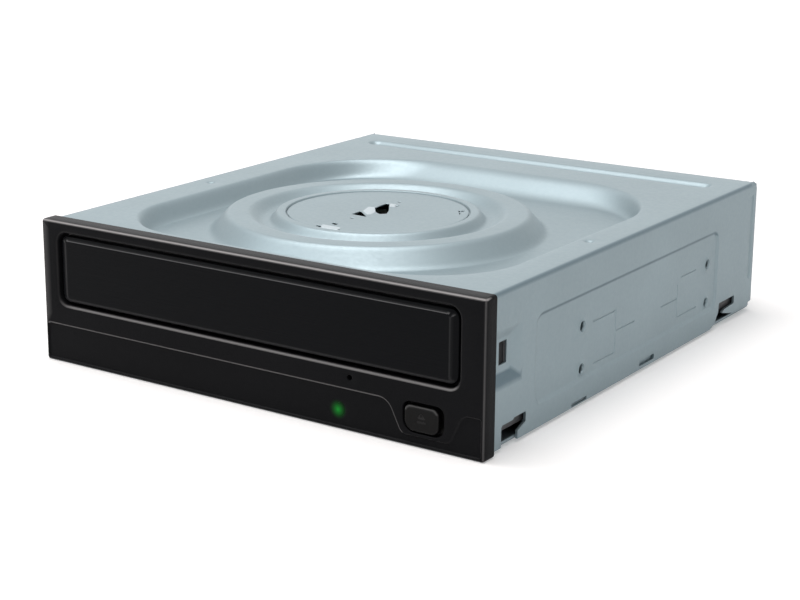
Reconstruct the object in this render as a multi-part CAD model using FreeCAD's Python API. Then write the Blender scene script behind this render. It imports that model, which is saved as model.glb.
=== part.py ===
import FreeCAD, Part
import math
import os
from FreeCAD import Vector

os.makedirs("parts", exist_ok=True)

# An internal disc drive of half height for a desktop computer's bay, in millimetres.
# X is to the right seen from the front, Y goes back from the bezel's front face, Z is up from the bezel's
# lower edge. Each piece is laid out in these lines and moved back by half the depth when it is written,
# so that the origin ends up in the middle of the underside.

# Steel body and its standard bay
body_width = 146.0
body_depth = 161.0
body_bottom = 0.4
body_top = 41.65
sheet = 0.7
bend_radius = 1.3
side_edge_rise = 0.5
bezel_overhang = 1.0
bezel_height = 42.0
bezel_depth = 5.0
first_screw = 52.4
screw_pitch = 79.25
side_screw_low = 9.9
side_screw_pitch = 11.9
bottom_screw_inset = 3.15
screw_hole_r = 1.25
collar_wall = 0.8
collar_length = 0.9
screw_room_r = 2.6

# Spindle axis, on which the disc, the clamp plate and the round relief are centred
spindle_x = -1.8
spindle_y = 65.0

# Pressed relief of the top
dish_drop = 5.5
dish_left_margin = 13.5
dish_right_margin = 10.5
dish_front = 8.0
dish_rear = 133.5
dish_corner = 36.0
dish_front_corner = 28.0
dish_corner_loss = 12.0
dish_front_loss = 3.5
dish_side_slope = 3.2
dish_rear_slope = 8.2
ring_foot_r = 49.0
ring_outer_r = 44.0
ring_inner_r = 37.5
moat_outer_r = 34.2
moat_inner_r = 31.6
moat_drop = 2.2
collar_outer_r = 29.4
collar_inner_r = 26.8
ledge_drop = 0.8
ledge_width = 2.8
rear_groove_margin = 9.0
rear_groove_from_back = 14.4
rear_groove_width = 6.4
rear_groove_drop = 1.2
rear_groove_slope = 1.1
dimple_inset = 6.0
dimple_y = 67.0
dimple_r = 1.4
dimple_drop = 0.35

# Pressed and cut forms of the two side walls
panel_front = 26.7
panel_rear = 138.7
panel_low = 7.0
panel_high = 31.6
panel_corner = 3.6
panel_drop = 0.4
panel_slope = 0.9
latch_recess_rear = 18.9
latch_recess_low = 18.0
latch_recess_high = 31.9
latch_recess_drop = 0.9
latch_recess_slope_y = 5.2
latch_recess_slope_z = 3.0
latch_hole_front = 8.0
latch_hole_rear = 11.7
latch_hole_low = 22.9
latch_hole_high = 28.8
front_notch_front = 10.0
front_notch_rear = 22.2
front_notch_high = 7.0
front_notch_step = 1.6
rear_notch_front = 141.2
rear_notch_rear = 152.6
rear_notch_low = 5.3
rear_notch_high = 7.9
small_slot_front = 87.0
small_slot_rear = 96.4
small_slot_low = 1.9
small_slot_high = 3.4
side_bead_from_back = 2.8
side_bead_low = 10.8
side_bead_high = 38.0
side_bead_width = 2.4
side_bead_drop = 0.4
rear_wall_bottom = 12.0

# Bottom cover
flange_rise = 3.2
cover_gap = 0.15
floor_relief_half = 46.0
floor_relief_front = 52.0
floor_relief_rear = 92.0
floor_relief_drop = 0.6
floor_relief_slope = 1.2
floor_relief_corner = 8.0
cover_screw_inset = 13.0
cover_screw_front = 20.0
cover_screw_from_back = 11.0
cover_screw_r = 1.4
cover_screw_length = 7.0
cover_screw_head_r = 2.6
cover_screw_head = 0.5

# Clamp plate in the middle of the top cover
clamp_plate_thick = 0.5
clamp_plate_gap = 0.35
bayonet_r = 23.6
bayonet_length = 9.0
bayonet_width = 2.8
tongue_length = 6.2
tongue_gap = 0.5
bayonet_angles = (-91.0, 37.0, 150.0)

# Clamper, its yoke and the holder that it hangs in
holder_r = 23.0
holder_hole_r = 14.6
holder_thick = 1.4
holder_top = 36.8
holder_post_r = 1.8
holder_post_at = 20.6
clamper_body_r = 14.0
clamper_flange_r = 16.5
clamper_flange = 1.2
clamper_gap = 0.2
clamper_bottom = 32.9
clamper_pocket_r = 9.2
clamper_pocket_top = 35.6
yoke_r = 10.0
yoke_hole_r = 3.0
yoke_thick = 0.7

# Bezel and its openings
bezel_wall = 2.0
bezel_edge = 0.7
tray_opening_side = 5.8
tray_opening_low = 17.5
tray_opening_high = 38.7
tray_opening_corner = 3.2
band_drop = 0.4
band_line = 11.4
band_margin = 0.8
button_inset = 17.5
button_z = 7.85
button_width = 10.4
button_height = 6.9
button_gap = 0.7
button_corner = 1.6
button_corner_low = 2.8
button_front = 0.45
button_travel = 0.8
button_flange = 1.1
button_flange_thick = 1.0
button_stem_r = 1.6
lamp_to_button = 25.9
lamp_z = 5.4
lamp_width = 2.4
lamp_height = 3.6
lamp_gap = 0.05
emergency_to_lamp = 3.1
emergency_z = 14.6
emergency_r = 0.75
bezel_latch_low = 21.8
bezel_latch_high = 29.8
bezel_latch_thick = 1.3
bezel_latch_gap = 0.2
bezel_latch_hook = 0.55

# Tray panel
tray_panel_gap = 0.9
tray_panel_front = 0.2
tray_panel_thick = 2.5
tray_panel_bevel = 1.2
tray_panel_corner = 2.6
panel_clip_inner = 20.0
panel_clip_outer = 34.0
panel_clip_length = 3.0
panel_clip_thick = 1.2

# Disc tray
tray_side_room = 7.5
tray_from_back = 11.0
tray_top = 34.5
tray_bottom = 24.9
tray_under = 28.5
tray_skirt = 1.5
tray_deck = 2.0
disc_recess_r = 60.3
disc_recess_floor = 30.9
small_recess_r = 40.3
small_recess_floor = 30.1
recess_rim = 2.0
tray_slot_half = 18.5
tray_slot_front_r = 20.5
tray_corner = 3.0
tray_rib_thick = 1.4
tray_ribs = ((24.0, 24.0), (44.0, 36.0))
rack_rib_from_panel = 5.0

# Main frame
frame_gap = 0.15
frame_wall = 2.2
frame_front = 2.8
frame_from_back = 2.6
frame_over_flange = 0.3
frame_top = 40.2
front_beam = 2.0
front_beam_low = 35.3
floor_bottom = 15.5
floor_top = 17.5
well_half = 49.5
well_front = 41.5
well_behind_pivot = 5.0
rail_low = 23.2
rail_gap = 0.25
rail_under_tray = 2.9
lip_gap = 0.4
lip_thick = 1.3
lip_places = (8.0, 58.0, 112.0)
lip_length = 14.0
boss_r = 3.0

# Loading drive
gear_pressure = 20.0
rack_module = 1.0
rack_inset = 7.5
rack_back = 3.4
rack_gear_teeth = 16
rack_gear_y = 22.0
train_module = 0.8
large_gear_teeth = 36
pinion_teeth = 12
pinion_angle = 28.0
backlash = 0.12
gear_gap = 0.5
train_width = 2.6
gear_pin_r = 1.5
pin_clearance = 0.05
pulley_r = 8.6
pulley_rim = 0.6
pulley_width = 3.6
motor_x = -5.0
motor_y = 24.0
motor_r = 12.0
motor_height = 11.5
motor_shaft_r = 1.0
motor_pulley_r = 3.0
belt_side = 1.2
belt_gap = 0.3

# Cam slider and tilting lift frame
pivot_from_back = 18.0
pivot_z = 12.5
pivot_r = 2.0
lift_drop_angle = 4.0
lift_half = 46.0
lift_front = 44.0
lift_behind_pivot = 3.5
lift_bar = 6.0
lift_bottom = 10.2
lift_top = 14.8
cam_pin_r = 1.5
slider_front = 37.6
slider_thick = 2.4
slider_left = -32.0
slider_right = 36.0
slider_bottom = 2.0
slider_gap = 0.2
cam_slope = 30.0
cam_clearance = 0.3

# Traverse on its dampers
damper_x = 41.0
damper_front = 47.5
damper_before_pivot = 1.0
damper_r = 4.0
damper_neck_r = 2.8
damper_height = 5.4
damper_hole_r = 1.7
damper_screw_r = 1.4
damper_screw_head_r = 3.2
damper_screw_head = 1.3
plate_bottom = 16.6
plate_thick = 1.2
plate_half = 45.0
plate_front = 43.4
plate_behind_pivot = 3.2
plate_window_left = -30.0
plate_window_right = 30.0
plate_window_front = 76.2
plate_window_rear = 139.0
plate_corner = 4.0

# Spindle
motor_base_half = 16.0
motor_base_front = 51.0
motor_base_rear = 75.9
motor_base_thick = 1.0
bearing_r = 3.6
bearing_height = 5.0
rotor_r = 12.0
rotor_wall = 0.8
rotor_height = 7.4
rotor_gap = 0.6
shaft_r = 1.25
turntable_r = 14.6
turntable_seat = 31.9
turntable_thick = 1.2
turntable_pad_thick = 0.5
turntable_pad_inner = 10.6
turntable_pad_inset = 0.8
hub_r = 7.35
hub_height = 2.6
hub_taper = 1.3

# Pickup, its rods and its screw
rod_r = 1.5
rod_z = 20.6
main_rod_x = -26.0
side_rod_x = 27.0
rod_block = 5.0
rod_block_thick = 3.0
rod_front = 71.0
rod_rear = 143.0
lens_start = 89.0
pickup_half = 21.0
pickup_length = 24.0
pickup_bottom = 15.2
pickup_top = 25.4
pickup_spindle_gap = 1.0
tower_half = 11.0
tower_length = 17.0
tower_top = 28.2
tower_wall = 1.4
bush_r = 3.1
rod_clearance = 0.05
lens_holder_half = 4.6
lens_holder_bottom = 26.4
lens_holder_top = 29.6
lens_r = 2.6
lens_dome = 0.5
lens_travel = 0.5
screw_x = 37.0
screw_z = 20.6
lead_screw_r = 1.5
sled_motor_r = 5.8
sled_motor_front = 66.0
sled_motor_length = 9.5
sled_flange = 1.0
sled_flange_side = 0.6
nut_half = 3.0
nut_length = 4.0
nut_arm = 2.0
nut_over_rod = 0.5

# Boards
board_thick = 1.6
board_bottom = 3.2
board_side_room = 16.0
board_front = 98.0
board_from_back = 3.0
board_screw_side = 4.0
board_screw_front = 103.0
board_screw_inset = 5.0
board_screw_r = 1.3
board_screw_length = 6.0
board_screw_head_r = 2.4
board_screw_head = 1.2
controller_place = (-6.0, 31.0, 20.0, 20.0)
controller_height = 1.4
small_chip_places = ((-36.0, 45.0, 12.0, 9.0), (26.0, 47.0, 10.0, 10.0), (-34.0, 17.0, 9.0, 7.0),
                     (20.0, 25.0, 7.0, 6.0))
small_chip_height = 1.1
chip_edge = 0.25
capacitor_places = (-14.0, -5.0, 4.0)
capacitor_inset = 6.0
capacitor_r = 2.5
capacitor_height = 4.7
capacitor_neck = 0.25
socket_side_room = 25.0
socket_width = 39.0
socket_depth = 8.6
socket_height = 6.2
socket_wall = 1.0
socket_pocket = 6.4
data_width = 11.2
power_width = 21.6
tongue_thick = 1.2
contact_pitch = 1.27
contact_width = 0.8
contact_thick = 0.15
front_board_y = 10.2
front_board_thick = 1.2
front_board_past_lamp = 8.6
front_board_past_button = 7.5
front_board_low = 2.6
front_board_high = 14.8
switch_side = 6.0

# Worked-out places that several pieces share
body_front = bezel_depth
body_rear = bezel_depth + body_depth
half_body = body_width / 2
bezel_width = body_width + 2 * bezel_overhang
tray_opening_half = bezel_width / 2 - tray_opening_side
tray_half = half_body - tray_side_room
rail_inner = tray_half - rail_under_tray
rack_pitch_x = rack_inset - tray_half
rear_groove_y = body_rear - rear_groove_from_back
side_bead_y = body_rear - side_bead_from_back
bottom_screw_pitch = body_width - 2 * bottom_screw_inset
dish_left = dish_left_margin - half_body
dish_right = half_body - dish_right_margin
rear_groove_half = half_body - rear_groove_margin
dimple_x = half_body - dimple_inset
cover_screw_x = half_body - cover_screw_inset
button_x = bezel_width / 2 - button_inset
lamp_x = button_x - lamp_to_button
emergency_x = lamp_x + emergency_to_lamp
front_board_left = lamp_x - front_board_past_lamp
front_board_right = button_x + front_board_past_button
board_half = half_body - board_side_room
board_screw_x = board_half - board_screw_side
socket_right = half_body - socket_side_room
socket_left = socket_right - socket_width
cover_screw_rear = body_rear - cover_screw_from_back
tray_rear = body_rear - tray_from_back
frame_rear = body_rear - frame_from_back
pivot_y = body_rear - pivot_from_back
well_rear = pivot_y + well_behind_pivot
lift_rear = pivot_y + lift_behind_pivot
damper_rear = pivot_y - damper_before_pivot
plate_rear = pivot_y + plate_behind_pivot
board_rear = body_rear - board_from_back
board_screw_rear = board_rear - board_screw_inset
half_inside = half_body - sheet
side_bottom = body_bottom + side_edge_rise
inside_floor = body_bottom + sheet
ceiling = body_top - sheet
ledge_top = body_top - ledge_drop
ledge_r = collar_inner_r - ledge_width
side_screw_rows = (body_bottom + side_screw_low, body_bottom + side_screw_low + side_screw_pitch)
screw_columns = (first_screw, first_screw + screw_pitch)
rack_gear_r = rack_module * rack_gear_teeth / 2
rack_gear_x = rack_pitch_x + rack_gear_r
large_gear_r = train_module * large_gear_teeth / 2
pinion_r = train_module * pinion_teeth / 2
train_centres = large_gear_r + pinion_r
pulley_x = rack_gear_x + train_centres * math.cos(math.radians(pinion_angle))
pulley_y = rack_gear_y + train_centres * math.sin(math.radians(pinion_angle))
train_bottom = floor_top + gear_gap
train_top = train_bottom + train_width
pulley_bottom = train_top + 0.2
belt_z = pulley_bottom + pulley_width / 2
motor_top = floor_bottom
plate_top = plate_bottom + plate_thick
motor_base_top = plate_top + motor_base_thick
turntable_bottom = turntable_seat - turntable_pad_thick - turntable_thick
slider_top = floor_bottom - slider_gap
cam_reach = pivot_y - (slider_front + slider_thick / 2)
cam_fall = cam_reach * math.sin(math.radians(lift_drop_angle))
cam_travel = cam_fall / math.tan(math.radians(cam_slope))
board_top = board_bottom + board_thick
flange_top = body_bottom + sheet + flange_rise
frame_outer = half_inside - panel_drop - frame_gap
frame_inner = frame_outer - frame_wall
latch_wall_inside = half_inside - latch_recess_drop


def box(x0, x1, y0, y1, z0, z1):
    """A block between two corners."""
    return Part.makeBox(x1 - x0, y1 - y0, z1 - z0, Vector(x0, y0, z0))


def round_bar(x, y, z, radius, length, along="z"):
    """A cylinder that starts at a point and runs along one axis."""
    direction = {"x": Vector(1, 0, 0), "y": Vector(0, 1, 0), "z": Vector(0, 0, 1)}[along]
    return Part.makeCylinder(radius, length, Vector(x, y, z), direction)


def joined(shapes):
    """Several solids made one, without the seams between them."""
    first, rest = shapes[0], list(shapes[1:])
    return (first.multiFuse(rest) if rest else first).removeSplitter()


def mirrored(shape):
    """The same shape on the other side of the middle."""
    return shape.mirror(Vector(0, 0, 0), Vector(1, 0, 0))


def both_sides(shapes):
    """A list of shapes and their mirror images."""
    return list(shapes) + [mirrored(s) for s in shapes]


def flat(z):
    return lambda a, b: Vector(a, b, z)


def facing(y):
    return lambda a, b: Vector(a, y, b)


def sideways(x):
    return lambda a, b: Vector(x, a, b)


def outline(corners, place):
    """A closed wire through corners (a, b, radius), each rounded by its radius, laid on a plane by place."""
    turns = []
    for i, (a, b, radius) in enumerate(corners):
        corner = Vector(a, b, 0)
        before = (Vector(corners[i - 1][0], corners[i - 1][1], 0) - corner).normalize()
        after_corner = corners[(i + 1) % len(corners)]
        after = (Vector(after_corner[0], after_corner[1], 0) - corner).normalize()
        half = math.acos(max(-1.0, min(1.0, before.dot(after)))) / 2
        inward = (before + after).normalize()
        centre = corner + inward * (radius / math.sin(half))
        reach = radius / math.tan(half)
        turns.append((corner + before * reach, centre - inward * radius, corner + after * reach, radius))
    edges = []
    for i, (start, middle, end, radius) in enumerate(turns):
        if radius > 0:
            edges.append(Part.Arc(*[place(p.x, p.y) for p in (start, middle, end)]).toShape())
        following = turns[(i + 1) % len(turns)][0]
        if (following - end).Length > 1e-6:
            edges.append(Part.LineSegment(place(end.x, end.y), place(following.x, following.y)).toShape())
    return Part.Wire(edges)


def rectangle(a0, a1, b0, b1, radius, place):
    """A rounded rectangle as a wire."""
    return outline([(a0, b0, radius), (a1, b0, radius), (a1, b1, radius), (a0, b1, radius)], place)


def prism(wire, x=0.0, y=0.0, z=0.0):
    """A flat outline pushed along a straight way."""
    return Part.Face(wire).extrude(Vector(x, y, z))


def polygon(points, place):
    """A closed wire of straight lines."""
    return Part.makePolygon([place(a, b) for a, b in list(points) + [points[0]]])


def turned(profile, x=0.0, y=0.0):
    """A closed profile of (radius, height) corners turned about an upright axis."""
    face = Part.Face(polygon(profile, lambda r, z: Vector(x + r, y, z)))
    return face.revolve(Vector(x, y, 0), Vector(0, 0, 1), 360)


def pressed(a0, a1, b0, b1, corner, slope, drop, behind, place_at):
    """The space that a pressed rectangle with sloping walls takes out of a sheet's outer face.

    behind is nought for the outer face and the sheet's thickness for the inner one, where the same
    wall stands a sheet further out, measured square to the slope. place_at(depth) lays a wire.
    """
    run = slope / drop
    grow = behind * (math.sqrt(1 + run * run) - run)
    wires = []
    for depth in (-0.2, drop):
        inset = run * depth - grow
        radius = max(corner - inset, 0.3)
        place = place_at(behind + depth)
        wires.append(rectangle(a0 + inset, a1 - inset, b0 + inset, b1 - inset, radius, place))
    return Part.makeLoft(wires, True, True)


def rounded_along(shape, radius, chosen):
    """Fillet the edges whose middles are chosen."""
    return shape.makeFillet(radius, [e for e in shape.Edges if chosen(e.CenterOfMass)])


def near(a, b):
    return abs(a - b) < 0.01


def place_node(name, shape):
    """Write one piece, moved so that the origin is in the middle of the underside."""
    moved = shape.copy()
    moved.translate(Vector(0, -body_rear / 2, 0))
    moved.exportStep("parts/" + name + ".step")


def dish(behind):
    """The wide hollow of the top, with steep walls in front and at the sides and a longer one behind."""
    side_run = dish_side_slope / dish_drop
    rear_run = dish_rear_slope / dish_drop
    side_grow = behind * (math.sqrt(1 + side_run ** 2) - side_run)
    rear_grow = behind * (math.sqrt(1 + rear_run ** 2) - rear_run)
    wires = []
    for depth in (-0.3, dish_drop):
        side_in = side_run * depth - side_grow
        rear_in = rear_run * depth - rear_grow
        radius = dish_corner - dish_corner_loss * depth / dish_drop
        front_radius = dish_front_corner - dish_front_loss * depth / dish_drop
        corners = [
            (dish_left + side_in, dish_front + side_in, front_radius),
            (dish_right - side_in, dish_front + side_in, front_radius),
            (dish_right - side_in, dish_rear - rear_in, radius),
            (dish_left + side_in, dish_rear - rear_in, radius),
        ]
        wires.append(outline(corners, flat(body_top - behind - depth)))
    return Part.makeLoft(wires, True, True)


def shifted_line(points, distance):
    """A line of (radius, height) corners shifted to its left by a distance."""
    lines = []
    for (r0, z0), (r1, z1) in zip(points, points[1:]):
        length = math.hypot(r1 - r0, z1 - z0)
        along = ((r1 - r0) / length, (z1 - z0) / length)
        lines.append(((r0 - along[1] * distance, z0 + along[0] * distance), along))
    shifted = [lines[0][0]]
    for (p, u), (q, v) in zip(lines, lines[1:]):
        cross = u[0] * v[1] - u[1] * v[0]
        t = ((q[0] - p[0]) * v[1] - (q[1] - p[1]) * v[0]) / cross
        shifted.append((p[0] + u[0] * t, p[1] + u[1] * t))
    last_point, last_way = lines[-1]
    shifted.append((points[-1][0], last_point[1]))
    return shifted


def round_relief(behind):
    """The raised ring, the moat inside it and the seat of the clamp plate, as one turned form."""
    floor = body_top - dish_drop
    line = [
        (ring_foot_r, floor),
        (ring_outer_r, body_top),
        (ring_inner_r, body_top),
        (moat_outer_r, body_top - moat_drop),
        (moat_inner_r, body_top - moat_drop),
        (collar_outer_r, body_top),
        (collar_inner_r, body_top),
        (collar_inner_r, ledge_top),
        (0.0, ledge_top),
    ]
    line = shifted_line(line, behind) if behind else line
    slope = (ring_foot_r - ring_outer_r) / dish_drop
    below = 2.0
    base = (line[0][0] + slope * below, line[0][1] - below)
    profile = [base] + line + [(0.0, base[1])]
    return turned(profile, spindle_x, spindle_y)


def rear_groove(behind):
    half = rear_groove_width / 2
    return pressed(
        -rear_groove_half, rear_groove_half, rear_groove_y - half, rear_groove_y + half, half - 0.01,
        rear_groove_slope, rear_groove_drop, behind, lambda depth: flat(body_top - depth),
    )


def side_forms(behind):
    """What is pressed into the right side wall: the long panel, the latch's recess and the rear bead."""
    def at(depth):
        return sideways(half_body - depth)

    panel = pressed(
        panel_front, panel_rear, panel_low, panel_high, panel_corner,
        panel_slope, panel_drop, behind, at,
    )
    bead_half = side_bead_width / 2
    bead = pressed(
        side_bead_y - bead_half, side_bead_y + bead_half, side_bead_low, side_bead_high, bead_half - 0.01,
        0.5, side_bead_drop, behind, at,
    )
    run_y = latch_recess_slope_y / latch_recess_drop
    run_z = latch_recess_slope_z / latch_recess_drop
    grow_y = behind * (math.sqrt(1 + run_y ** 2) - run_y)
    grow_z = behind * (math.sqrt(1 + run_z ** 2) - run_z)
    wires = []
    for depth in (-0.1, latch_recess_drop):
        in_y = run_y * depth - grow_y
        in_z = run_z * depth - grow_z
        points = [
            (body_front - 2, latch_recess_low + in_z),
            (latch_recess_rear - in_y, latch_recess_low + in_z),
            (latch_recess_rear - in_y, latch_recess_high - in_z),
            (body_front - 2, latch_recess_high - in_z),
        ]
        wires.append(polygon(points, at(behind + depth)))
    recess = Part.makeLoft(wires, True, True)
    return [panel, bead, recess]


def top_cover():
    """One sheet pressed and folded: top, both sides and the upper part of the back."""
    shells = []
    for behind in (0.0, sheet):
        top, half, back = body_top - behind, half_body - behind, body_rear - behind
        shell = box(-half, half, body_front - behind, back, side_bottom - behind, top)
        shell = rounded_along(
            shell, bend_radius - behind,
            lambda c: (near(c.z, top) and c.y > body_front + 1) or (near(c.y, back) and near(abs(c.x), half)),
        )
        shell = shell.cut(dish(behind)).fuse(round_relief(behind)).cut(rear_groove(behind))
        shells.append(shell.cut(both_sides(side_forms(behind))))
    cover = shells[0].cut(shells[1])
    collars = []
    holes = [round_bar(spindle_x, spindle_y, ceiling - 2, ledge_r, 4)]
    for y in screw_columns:
        for z in side_screw_rows:
            wall_face = half_body - panel_drop
            length = sheet + collar_length
            collars.append(round_bar(wall_face - length, y, z, screw_hole_r + collar_wall, length, "x"))
            holes.append(round_bar(half_body - 5, y, z, screw_hole_r, 10, "x"))
    cover = cover.multiFuse(both_sides(collars))
    reach = 4.0
    cuts = [
        box(half_body - reach, half_body + 1, latch_hole_front, latch_hole_rear, latch_hole_low, latch_hole_high),
        box(half_body - reach, half_body + 1, rear_notch_front, rear_notch_rear, rear_notch_low, rear_notch_high),
        box(half_body - reach, half_body + 1, small_slot_front, small_slot_rear, small_slot_low, small_slot_high),
    ]
    notch = [
        (front_notch_front, side_bottom - 1, 0),
        (front_notch_rear - 4, side_bottom - 1, 0),
        (front_notch_rear - 4, side_bottom + 2.2, 0),
        (front_notch_rear, side_bottom + 3.6, 0),
        (front_notch_rear, front_notch_high, 0.4),
        (front_notch_rear - 5.5, front_notch_high, 0.2),
        (front_notch_rear - 6.5, front_notch_high - front_notch_step, 0.2),
        (front_notch_front, front_notch_high - front_notch_step, 0.6),
    ]
    cuts.append(prism(outline(notch, sideways(half_body - reach)), x=reach + 1))
    corner = [(body_rear - 9.5, side_bottom), (body_rear + 1, side_bottom), (body_rear + 1, side_bottom + 2.4)]
    cuts.append(prism(polygon(corner, sideways(half_body - reach)), x=reach + 1))
    cuts.append(box(-1, half_inside, body_rear - 4, body_rear + 1, side_bottom - 1, rear_wall_bottom))
    holes += [Part.makeSphere(dimple_r * 2, Vector(dimple_x, dimple_y, body_top + dimple_r * 2 - dimple_drop))]
    return cover.cut(both_sides(cuts + holes))


def bottom_cover():
    """A pan of the same sheet: floor, low side flanges inside the top cover's walls and the lower back."""
    half = half_inside - cover_gap
    rear_top = rear_wall_bottom - cover_gap
    outer = box(-half, half, body_front + 0.6, body_rear, body_bottom, rear_top)
    outer = rounded_along(outer, bend_radius, lambda c: near(c.z, body_bottom) and c.y > body_front + 1)
    inner = box(-half + sheet, half - sheet, body_front - 1, body_rear - sheet, inside_floor, rear_top + 1)
    inner = rounded_along(inner, bend_radius - sheet, lambda c: near(c.z, inside_floor) and c.y > body_front + 1)
    pans = []
    for shape, behind in ((outer, 0.0), (inner, sheet)):
        relief = pressed(
            -floor_relief_half, floor_relief_half, floor_relief_front, floor_relief_rear, floor_relief_corner,
            floor_relief_slope, floor_relief_drop, behind, lambda depth: flat(body_bottom + depth),
        )
        pans.append(shape.cut(relief))
    pan = pans[0].cut(pans[1])
    away = [box(-half - 1, half + 1, body_front, body_rear - sheet - 1.5, flange_top, rear_top + 1)]
    for start, end in ((front_notch_front - 1, front_notch_rear + 1), (rear_notch_front - 1, rear_notch_rear + 1)):
        away += both_sides([box(half - 2, half + 1, start, end, inside_floor + 0.8, flange_top + 1)])
    away.append(box(socket_left - 0.4, socket_right + 0.4, body_rear - 2, body_rear + 1,
                    board_top - 0.4, rear_top + 1))
    collars = []
    holes = []
    for y in screw_columns:
        for x in (-bottom_screw_pitch / 2, bottom_screw_pitch / 2):
            collars.append(round_bar(x, y, body_bottom, screw_hole_r + collar_wall, sheet + collar_length))
            holes.append(round_bar(x, y, body_bottom - 1, screw_hole_r, 5))
    for x, y in cover_screw_places():
        holes.append(round_bar(x, y, body_bottom - 1, cover_screw_r + 0.2, 5))
        dimple = Part.makeCone(cover_screw_head_r + 0.7, cover_screw_head_r + 0.1, cover_screw_head,
                               Vector(x, y, body_bottom))
        away.append(dimple)
        collars.append(round_bar(x, y, inside_floor - 0.01, cover_screw_head_r + 1.2, cover_screw_head))
    return pan.multiFuse(collars).cut(away + holes)


def cover_screw_places():
    return [(x, y) for x in (-cover_screw_x, cover_screw_x) for y in (cover_screw_front, cover_screw_rear)]


def cover_screws():
    """Four countersunk screws that hold the bottom cover to the main frame's bosses."""
    screws = []
    for x, y in cover_screw_places():
        head = Part.makeCone(cover_screw_head_r, cover_screw_r, cover_screw_head, Vector(x, y, body_bottom))
        shank = round_bar(x, y, body_bottom, cover_screw_r, cover_screw_length)
        slot_a = box(x - 1.5, x + 1.5, y - 0.3, y + 0.3, body_bottom - 1, body_bottom + 0.4)
        slot_b = box(x - 0.3, x + 0.3, y - 1.5, y + 1.5, body_bottom - 1, body_bottom + 0.4)
        screws.append(head.fuse(shank).cut([slot_a, slot_b]))
    return Part.makeCompound(screws)


def clamp_plate():
    """The round plate that closes the hole over the clamper and locks in it by three bayonet tongues."""
    radius = collar_inner_r - clamp_plate_gap
    plate = round_bar(spindle_x, spindle_y, ledge_top, radius, clamp_plate_thick)
    cuts = []
    for angle in bayonet_angles:
        window = box(-bayonet_length / 2, bayonet_length / 2, bayonet_r - bayonet_width / 2,
                     bayonet_r + bayonet_width / 2, ledge_top - 1, ledge_top + 2)
        start = bayonet_length / 2 - tongue_length
        tongue = box(start, bayonet_length / 2 + 1, bayonet_r - bayonet_width / 2 + tongue_gap,
                     bayonet_r + bayonet_width / 2 - tongue_gap, ledge_top - 2, ledge_top + 3)
        window = window.cut(tongue)
        window.rotate(Vector(0, 0, 0), Vector(0, 0, 1), angle - 90)
        window.translate(Vector(spindle_x, spindle_y, 0))
        cuts.append(window)
    hexagon = [(-2.4, 1.9), (2.4, -1.6), (3.2, 0.4), (1.6, 6.0), (-2.2, 9.5), (-4.0, 11.2)]
    triangle = [(-4.2, -7.6), (0.3, -7.1), (-3.8, -2.9)]
    for hole in (hexagon, triangle):
        cuts.append(prism(polygon([(spindle_x + a, spindle_y + b) for a, b in hole], flat(ledge_top - 1)), z=3))
    for a, b in ((0.3, 9.8), (-1.8, 15.0)):
        cuts.append(round_bar(spindle_x + a, spindle_y + b, ledge_top - 1, 0.6, 3))
    return plate.cut(cuts)


def around_spindle(shape, count):
    """Copies of a shape spaced evenly round the spindle axis."""
    copies = []
    for i in range(count):
        turned_copy = shape.copy()
        turned_copy.rotate(Vector(spindle_x, spindle_y, 0), Vector(0, 0, 1), 360.0 * i / count + 30.0)
        copies.append(turned_copy)
    return copies


def clamper_holder():
    """A dished ring under the clamp plate, on three posts, that the clamper's flange hangs in."""
    ring = round_bar(spindle_x, spindle_y, holder_top - holder_thick, holder_r, holder_thick)
    posts = around_spindle(
        round_bar(spindle_x + holder_post_at, spindle_y, holder_top - 0.1, holder_post_r, ledge_top - holder_top + 0.1), 3)
    hole = round_bar(spindle_x, spindle_y, holder_top - 5, holder_hole_r, 10)
    return joined([ring] + posts).cut(hole)


def clamper():
    """The puck that presses the disc on the turntable, with a pocket for the turntable's hub."""
    flange_bottom = holder_top + clamper_gap
    profile = [
        (0.0, clamper_pocket_top),
        (clamper_pocket_r, clamper_pocket_top),
        (clamper_pocket_r, clamper_bottom),
        (clamper_body_r, clamper_bottom),
        (clamper_body_r, flange_bottom),
        (clamper_flange_r, flange_bottom),
        (clamper_flange_r, flange_bottom + clamper_flange),
        (yoke_r, flange_bottom + clamper_flange),
        (yoke_r, flange_bottom + clamper_flange - yoke_thick / 2),
        (0.0, flange_bottom + clamper_flange - yoke_thick / 2),
    ]
    return turned(profile, spindle_x, spindle_y)


def clamper_yoke():
    """A steel ring let into the top of the clamper, which the turntable's magnet draws down."""
    bottom = holder_top + clamper_gap + clamper_flange - yoke_thick / 2
    ring = round_bar(spindle_x, spindle_y, bottom, yoke_r - 0.05, yoke_thick)
    return ring.cut(round_bar(spindle_x, spindle_y, bottom - 1, yoke_hole_r, 5))


def band_outline():
    """The lower band of the bezel: it runs below the line, and dips round the eject button."""
    half = bezel_width / 2 - band_margin
    left_dip = button_x - button_width / 2 - 1.7
    right_dip = button_x + button_width / 2 + 2.2
    low = button_z - button_height / 2 - 1.0
    return [
        (-half, -1.0, 0), (half, -1.0, 0), (half, band_line - 0.2, 0.3), (right_dip + 3.8, band_line - 0.2, 3.0),
        (right_dip, low, 2.2), (left_dip, low, 2.4), (left_dip - 4.2, band_line, 4.6), (-half, band_line, 0.8),
    ]


def button_outline(grow, place):
    """The eject button's shape, rounder at its lower left, grown by a gap."""
    a0, a1 = button_x - button_width / 2 - grow, button_x + button_width / 2 + grow
    b0, b1 = button_z - button_height / 2 - grow, button_z + button_height / 2 + grow
    low, high = button_corner_low + grow, button_corner + grow
    return outline([(a0, b0, low), (a1, b0, low * 0.8), (a1, b1, high), (a0, b1, high)], place)


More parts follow.
